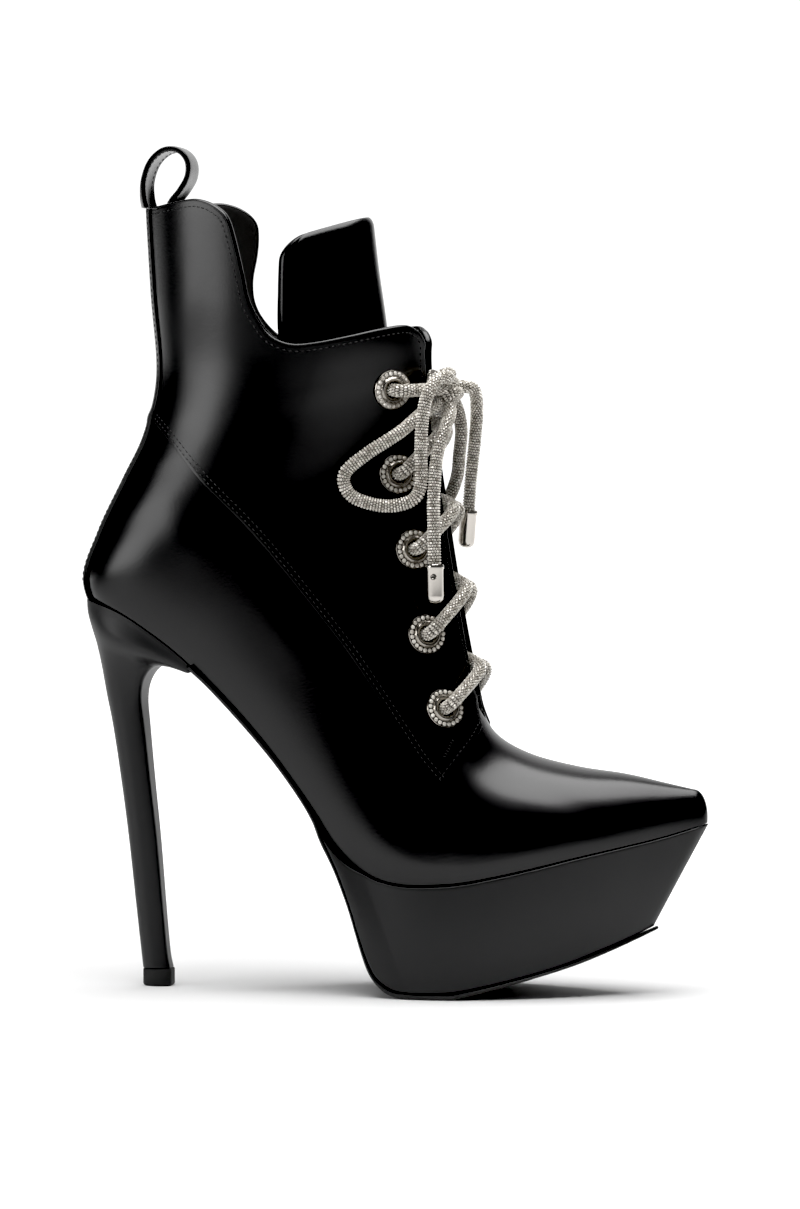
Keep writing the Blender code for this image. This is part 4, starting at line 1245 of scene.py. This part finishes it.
# Lace
# A round cord of about 5 mm in a knitted tube that is covered all over in small foil-backed stones. It
# runs from a bar inside the lowest eyelets up through the flaps in crosses and ends in a bow.
LACE_CORE = 2.15
STONE_FOOT = 2.1
STONE_TALL = 0.5
STONE_WIDE = 0.56
STONE_PITCH = 1.12
STONES_ROUND = 13
# Room between the stones of the flat cover, before it is wrapped round the cord
COVER_ROOM = 1.1
CORD_SIDES = 14
LACE_STEP = 0.8
LACE_BAR = Vector((151.0, 0.0, 111.5))
# Over the flap's edge, at the crossing and under the other flap: share of the rise to the next eyelet,
# distance from the middle line, and distance ahead of the flaps' edges
LACE_OVER = (0.5, 8.2, 4.6)
LACE_CROSSING = 0.62
LACE_UNDER = (0.74, 8, -9.4)
# Sum of the two halves' distances ahead of the flaps' edges at a crossing, where they change places
CROSSING_SUM = -2.4
# Through an eyelet: depth and reach behind it, two depths in its hole, height and reach in front of it
LACE_BEHIND = (5.6, 3.5)
LACE_IN_HOLE = (1.2, 3.0)
LACE_IN_FRONT = (6.0, 4.0)
# From the highest eyelet to the knot: height, distance out, distance ahead
LACE_TOP = (238, 9.5, 6.2)
KNOT_SIDE = 4
# Front edge of the flaps: z, x
FLAP_EDGE = ((100.0, 160.4), (112.0, 158.2), (120.0, 155.8), (135.0, 152.8), (147.0, 150.6), (167.0, 147.2),
             (189.0, 143.7), (214.0, 139.7), (240.0, 136.9), (253.0, 136.4))
KNOT = Vector((143.5, 0.0, 238.3))


def knitted(name, colour):
    """Knitted tube under the stones."""
    material, tree, shader = new_finish(name, {"Roughness": 0.55, "Metallic": 0.4})
    loops = add_texture(tree, "ShaderNodeTexVoronoi", {"Scale": 1500})
    vary_colour(tree, shader, loops.outputs["Distance"], [value * 0.4 for value in colour], colour)
    return material


KNIT = knitted("lace knit", (0.11, 0.097, 0.083))
# The lace stones' two colours are painted glints, given at random stone by stone as on the eyelets
LACE_STONES = stones_with_painted_glints("lace stones", (1.0, 0.965, 0.9), (0.38, 0.35, 0.30), 880)


def even_path(points, step):
    """Smooth path through points, in even steps."""
    dense = [Vector(point) for point in through([tuple(point) for point in points], 24)]
    rows = [(0.0, *dense[0])]
    for here, there in zip(dense, dense[1:]):
        rows.append((rows[-1][0] + (there - here).length, *there))
    count = max(round(rows[-1][0] / step), 8)
    stops = [rows[-1][0] * i / count for i in range(count + 1)]
    return [Vector([smooth(rows, column, stop) for column in (1, 2, 3)]) for stop in stops]


def path_frames(path):
    """Two directions across the cord at each point of its path, without twist."""
    frames = []
    guide = Vector((0.3, 0.2, 1))
    for i in range(len(path)):
        run = (path[min(i + 1, len(path) - 1)] - path[max(i - 1, 0)]).normalized()
        across = run.cross(guide).normalized()
        guide = across.cross(run)
        frames.append((across, guide.copy()))
    return frames


def path_length(path):
    """Length of a path."""
    return sum((there - here).length for here, there in zip(path, path[1:]))


def add_cord(bm, path):
    """Adds the knitted tube along a path, rounded off at both ends."""
    frames = path_frames(path)
    final = len(path) - 1

    def cord_vertex(column, row):
        along = min(max(row - 1, 0), final)
        radius = 0 if row in (0, final + 2) else LACE_CORE
        angle = 2 * math.pi * column / CORD_SIDES
        across, over = frames[along]
        return path[along] + (across * math.cos(angle) + over * math.sin(angle)) * radius

    add_sheet(bm, CORD_SIDES, final + 2, cord_vertex, False)


def whole(bm):
    """All the geometry of a mesh."""
    return bm.verts[:] + bm.edges[:] + bm.faces[:]


def copy_along(bm, geometry, way):
    """Copies geometry and moves the copy."""
    copied = bmesh.ops.duplicate(bm, geom=geometry)
    moved = [item for item in copied["geom"] if isinstance(item, bmesh.types.BMVert)]
    bmesh.ops.translate(bm, verts=moved, vec=way)


def add_stones(bm, path):
    """Adds the cover of stones along a path, in rings that are staggered by half a stone."""
    frames = path_frames(path)
    reach = path_length(path)
    rings = int(reach / STONE_PITCH)
    cover = bmesh.new()
    across_step = 2 * math.pi / STONES_ROUND
    pose = Matrix.Translation((STONE_PITCH / 2, 0, STONE_TALL / 2))
    bmesh.ops.create_cone(cover, cap_ends=True, segments=6, radius1=STONE_WIDE,
                          radius2=STONE_WIDE * STONE_TAPER, depth=STONE_TALL, matrix=pose)
    buried = [face for face in cover.faces if face.normal.z < -0.9]
    bmesh.ops.delete(cover, geom=buried, context="FACES_ONLY")
    arc = across_step * STONE_FOOT * COVER_ROOM
    seed = whole(cover)
    for i in range(1, STONES_ROUND):
        copy_along(cover, seed, (0, arc * i, 0))
    copy_along(cover, whole(cover), (STONE_PITCH, arc / 2, 0))
    span = 2 * STONE_PITCH
    while span < reach:
        copy_along(cover, whole(cover), (span, 0, 0))
        span *= 2
    spare = [vert for vert in cover.verts if vert.co.x > rings * STONE_PITCH]
    bmesh.ops.delete(cover, geom=spare, context="VERTS")
    step = reach / (len(path) - 1)
    for vert in cover.verts:
        at = min(max(vert.co.x * reach / (rings * STONE_PITCH) / step, 0), len(path) - 1.001)
        low = int(at)
        part = at - low
        middle = path[low].lerp(path[low + 1], part)
        across = frames[low][0].lerp(frames[low + 1][0], part)
        over = frames[low][1].lerp(frames[low + 1][1], part)
        angle = vert.co.y / arc * across_step
        out = across * math.cos(angle) + over * math.sin(angle)
        vert.co = to_frame(middle + out * (STONE_FOOT + vert.co.z))
    mesh = bpy.data.meshes.new("stones")
    cover.to_mesh(mesh)
    cover.free()
    first = len(bm.faces)
    bm.from_mesh(mesh)
    bm.faces.ensure_lookup_table()
    for face in bm.faces[first:]:
        face.material_index = 1
    bpy.data.meshes.remove(mesh)


def lace_piece(name, paths, *nodes):
    """One piece of lace along one or more paths."""
    bm = bmesh.new()
    for path in paths:
        add_cord(bm, path)
    close_seams(bm)
    for path in paths:
        add_stones(bm, path)
    piece = keep(name, bm, (KNIT, LACE_STONES), "stone_cord", *nodes)
    piece.data.set_sharp_from_angle(angle=math.radians(30))
    return piece


def in_throat(z, y, ahead):
    """Point beside the flaps' front edges."""
    return Vector((smooth(FLAP_EDGE, 1, z) + ahead, y, z))


def lacing_path(first_side, ahead):
    """Path of one half of the lace, from the bar up through the eyelets to the knot."""
    points = [LACE_BAR]
    side = first_side
    for number in range(len(EYELETS), 0, -1):
        centre, facing = eyelet_frame(number, side)
        if number > 1:
            above = eyelet_frame(number - 1, -side)[0]
            rise = above.z - centre.z
            over = in_throat(centre.z + LACE_OVER[0] * rise, side * LACE_OVER[1], LACE_OVER[2])
        else:
            over = in_throat(LACE_TOP[0], side * LACE_TOP[1], LACE_TOP[2])
        came = points[-1] - centre
        came = (came - facing * came.dot(facing)).normalized()
        heading = over - centre
        heading = (heading - facing * heading.dot(facing)).normalized()
        points.append(centre - facing * LACE_BEHIND[0] + came * LACE_BEHIND[1])
        points += [centre - facing * LACE_IN_HOLE[0], centre + facing * LACE_IN_HOLE[1]]
        points += [centre + facing * LACE_IN_FRONT[0] + heading * LACE_IN_FRONT[1], over]
        if number > 1:
            points.append(in_throat(centre.z + LACE_CROSSING * rise, 0, ahead))
            points.append(in_throat(centre.z + LACE_UNDER[0] * rise, -side * LACE_UNDER[1], LACE_UNDER[2]))
            side = -side
            ahead = CROSSING_SUM - ahead
        else:
            points.append(KNOT + Vector((0, side * KNOT_SIDE, 0)))
    return even_path(points, LACE_STEP)


lace_nodes = ["lace_bar"] + ["lace_cross_%d" % number for number in range(1, len(EYELETS))]
halves = [lacing_path(LATERAL, 1.2), lacing_path(MEDIAL, -3.6)]
lace_piece("lace_crossings", halves, *lace_nodes)

# Knot
# The same stone-covered lace, wound round itself in front of the flaps in three turns and pulled tight,
# so that it holds the loops and the ends of the bow.
KNOT_TURNS = 3.2
KNOT_TALL = 6.6
KNOT_DEEP = 4.3
KNOT_WIDE = 5.6
KNOT_START = 2.2
KNOT_STEPS = 36
# The ends are tucked in: share of the radius at an end, and how fast it grows
TUCK_IN = 0.25
TUCK_OUT = 8
KNOT_LEAN = math.radians(-24)
knot_points = []
for step in range(KNOT_STEPS + 1):
    share = step / KNOT_STEPS
    angle = 2 * math.pi * KNOT_TURNS * share + KNOT_START
    tuck = min(1, TUCK_IN + TUCK_OUT * share, TUCK_IN + TUCK_OUT * (1 - share))
    turn = Vector((KNOT_DEEP * math.cos(angle) * tuck, KNOT_WIDE * math.sin(angle) * tuck,
                   (share - 0.5) * 2 * KNOT_TALL))
    turn.rotate(Matrix.Rotation(KNOT_LEAN, 3, "Y"))
    turn.rotate(Matrix.Rotation(KNOT_LEAN / 2, 3, "X"))
    knot_points.append(KNOT + turn)
lace_piece("lace_knot_turns", [even_path(knot_points, LACE_STEP)], "lace_knot")

# Bow
# Two loops and two ends of the lace that hang from the knot under their own weight. Each end is
# finished with a polished nickel aglet, pressed on, with a lip at the top and a rivet.
BOW = {
    "lace_loop_lateral": ((141.6, -10.0, 231.2), (137.5, -17.5, 228.5), (130.0, -24.9, 221.2),
                          (116.8, -28.7, 212.2), (108.8, -30.2, 204.4), (111.8, -29.4, 196.2),
                          (124.5, -27.5, 192.4), (134.9, -25.9, 194.7), (138.2, -24.6, 201.5),
                          (138.1, -24.5, 214.1), (138.6, -23.8, 226.0), (140.2, -21.5, 235.6),
                          (143.4, -16.5, 241.2), (146.6, -9.6, 242.6)),
    "lace_loop_medial": ((147.2, 9.0, 231.0), (148.6, 12.5, 222.0), (147.4, 15.5, 212.0),
                         (146.0, 18.5, 203.0), (142.0, 22.0, 194.4), (137.6, 24.5, 193.6),
                         (135.6, 25.5, 199.0), (136.6, 25.0, 208.0), (138.4, 23.0, 218.0),
                         (140.0, 17.5, 227.0), (141.8, 10.4, 231.4)),
    "lace_end_lateral": ((147.2, -7.8, 229.0), (146.4, -14.5, 223.5), (144.2, -21.0, 213.0),
                         (143.2, -24.0, 199.0), (143.4, -25.6, 184.0), (143.8, -26.4, 169.6)),
    "lace_end_medial": ((151.3, 5.2, 238.8), (154.2, 11.0, 237.0), (154.2, 17.0, 229.0),
                        (152.8, 21.0, 217.0), (151.2, 22.6, 204.0), (150.0, 23.4, 189.6)),
}
# Outline of an aglet: radius, distance from the cord's end
AGLET = ((2.75, 2.2), (2.75, 0.0), (3.4, -0.3), (3.65, 0.1), (3.65, 1.2), (3.4, 1.7), (3.4, 12.0),
         (3.1, 13.4), (2.3, 14.3), (1.2, 14.7), (0.0, 14.8))
AGLET_STEPS = 32
AGLET_GAP = 0.3
# Outline of its rivet: radius, height
RIVET = ((0.0, 0.05), (0.55, 0.1), (0.8, 0.35), (1.1, 0.35), (1.25, 0.1), (1.2, -0.6), (0.0, -0.6))
RIVET_STEPS = 16
RIVET_ALONG = 4.6
RIVET_OUT = 3.35
# Share of the way from the knot's middle to a cord's first point at which the cord starts
KNOT_GRIP = 0.3
NICKEL = metal("polished nickel", (0.58, 0.55, 0.51), 0.12)
for side, side_name in SIDES:
    name = "lace_loop_" + side_name
    route = [Vector(point) for point in BOW[name]]
    path = even_path([KNOT.lerp(route[0], KNOT_GRIP), *route, KNOT.lerp(route[-1], KNOT_GRIP)], LACE_STEP)
    loop = lace_piece("bow_loop_" + side_name, [path], name)

    name = "lace_end_" + side_name
    route = [Vector(point) for point in BOW[name]]
    path = even_path([KNOT.lerp(route[0], KNOT_GRIP), *route], LACE_STEP)
    axis = (path[-1] - path[-2]).normalized()
    start = path[-1] + axis * AGLET_GAP
    cap = bmesh.new()
    add_turned(cap, AGLET, facing_pose(start, axis), AGLET_STEPS)
    proud = (Vector((0, side, 0)) - axis * axis.y * side).normalized()
    add_turned(cap, RIVET, facing_pose(start + axis * RIVET_ALONG + proud * RIVET_OUT, proud), RIVET_STEPS)
    close_seams(cap)
    aglet = keep("aglet_cap_" + side_name, cap, (NICKEL,), "nickel", "aglet_" + side_name)
    aglet.data.set_sharp_from_angle(angle=math.radians(40))
    end = lace_piece("bow_end_" + side_name, [path], name)

# Floor, light and camera
# A wide pale floor that runs into a white surround, soft panels above and to the left, and a long lens
# low in front of the shoe's outer side.
CAMERA_YAW = math.radians(9)
CAMERA_FAR = 2000.0
CAMERA_TARGET = Vector((126.0, 0.0, 152.8))
CAMERA_HIGH = 240.0
PHOTO_TALL = 1209
FOCAL_PIXELS = 5060
SENSOR = 36
tilt = math.asin((CAMERA_HIGH - CAMERA_TARGET.z) / CAMERA_FAR)
level = math.cos(tilt)
back = Vector((math.sin(CAMERA_YAW) * level, -math.cos(CAMERA_YAW) * level, math.sin(tilt)))
lens = bpy.data.cameras.new("camera")
lens.sensor_width = SENSOR
lens.lens = SENSOR * FOCAL_PIXELS / PHOTO_TALL
lens.clip_end = 100
camera = bpy.data.objects.new("camera", lens)
camera.location = to_frame(CAMERA_TARGET + back * CAMERA_FAR)
camera.rotation_euler = (-back).to_track_quat("-Z", "Y").to_euler()
bpy.context.scene.collection.objects.link(camera)
bpy.context.scene.camera = camera

ground = bmesh.new()
bmesh.ops.create_grid(ground, x_segments=1, y_segments=1, size=30)
ground_mesh = bpy.data.meshes.new("floor")
ground.to_mesh(ground_mesh)
ground.free()
matt = {"Base Color": (0.85, 0.85, 0.85, 1), "Roughness": 0.9, "Specular IOR Level": 0.1,
        "Emission Color": (1, 1, 1, 1)}
floor_finish, floor_tree, floor_shader = new_finish("pale floor", matt)
# The floor glows more towards the back, where it meets the white surround
floor_reach = add_texture(floor_tree, "ShaderNodeSeparateXYZ", {})
floor_glow = floor_tree.nodes.new("ShaderNodeMapRange")
floor_glow.inputs["From Min"].default_value = 0.1
floor_glow.inputs["From Max"].default_value = 1.2
floor_glow.inputs["To Min"].default_value = 0.0
floor_glow.inputs["To Max"].default_value = 1.1
floor_tree.links.new(floor_reach.outputs["Y"], floor_glow.inputs["Value"])
floor_tree.links.new(floor_glow.outputs["Result"], floor_shader.inputs["Emission Strength"])
ground_mesh.materials.append(floor_finish)
floor = bpy.data.objects.new("floor", ground_mesh)
bpy.context.scene.collection.objects.link(floor)


def add_panel(name, place, aim, wide, tall, watts):
    """Soft light panel that faces a point."""
    light = bpy.data.lights.new(name, "AREA")
    light.shape = "RECTANGLE"
    light.size = wide
    light.size_y = tall
    light.energy = watts
    panel = bpy.data.objects.new(name, light)
    panel.location = place
    panel.rotation_euler = (Vector(aim) - Vector(place)).to_track_quat("-Z", "Y").to_euler()
    bpy.context.scene.collection.objects.link(panel)


add_panel("top panel", (0.065, -0.08, 1.1), (0.035, 0, 0.1), 1.1, 0.97, 20.5)
add_panel("left panel", (-1.1, -0.72, 0.42), (-0.05, 0, 0.2), 0.6, 0.6, 4.4)

# The surround is white behind the shoe and dark elsewhere, so that the black leather stays dark
sky = bpy.data.worlds.new("surround")
sky.use_nodes = True
sky_nodes = sky.node_tree.nodes
sky_links = sky.node_tree.links
backdrop = sky_nodes["Background"]
ray = sky_nodes.new("ShaderNodeTexCoord")
parts = sky_nodes.new("ShaderNodeSeparateXYZ")
fade = sky_nodes.new("ShaderNodeMapRange")
fade.interpolation_type = "SMOOTHSTEP"
fade.inputs["From Min"].default_value = 0.45
fade.inputs["From Max"].default_value = 0.75
fade.inputs["To Min"].default_value = 0.08
fade.inputs["To Max"].default_value = 1.15
sky_links.new(ray.outputs["Generated"], parts.inputs["Vector"])
sideways = sky_nodes.new("ShaderNodeMath")
sideways.operation = "MULTIPLY"
inward = sky_nodes.new("ShaderNodeMath")
inward.operation = "MULTIPLY_ADD"
inward.inputs[1].default_value = -1.2
sky_links.new(parts.outputs["X"], sideways.inputs[0])
sky_links.new(parts.outputs["X"], sideways.inputs[1])
sky_links.new(sideways.outputs["Value"], inward.inputs[0])
sky_links.new(parts.outputs["Y"], inward.inputs[2])
sky_links.new(inward.outputs["Value"], fade.inputs["Value"])
sky_links.new(fade.outputs["Result"], backdrop.inputs["Strength"])
backdrop.inputs["Color"].default_value = (1, 1, 1, 1)
bpy.context.scene.world = sky
# Plain tones, with the darkest greys taken down to black
picture = bpy.context.scene.view_settings
picture.view_transform = "Standard"
picture.use_curve_mapping = True
picture.curve_mapping.black_level = (0.019, 0.019, 0.019)
picture.curve_mapping.update()
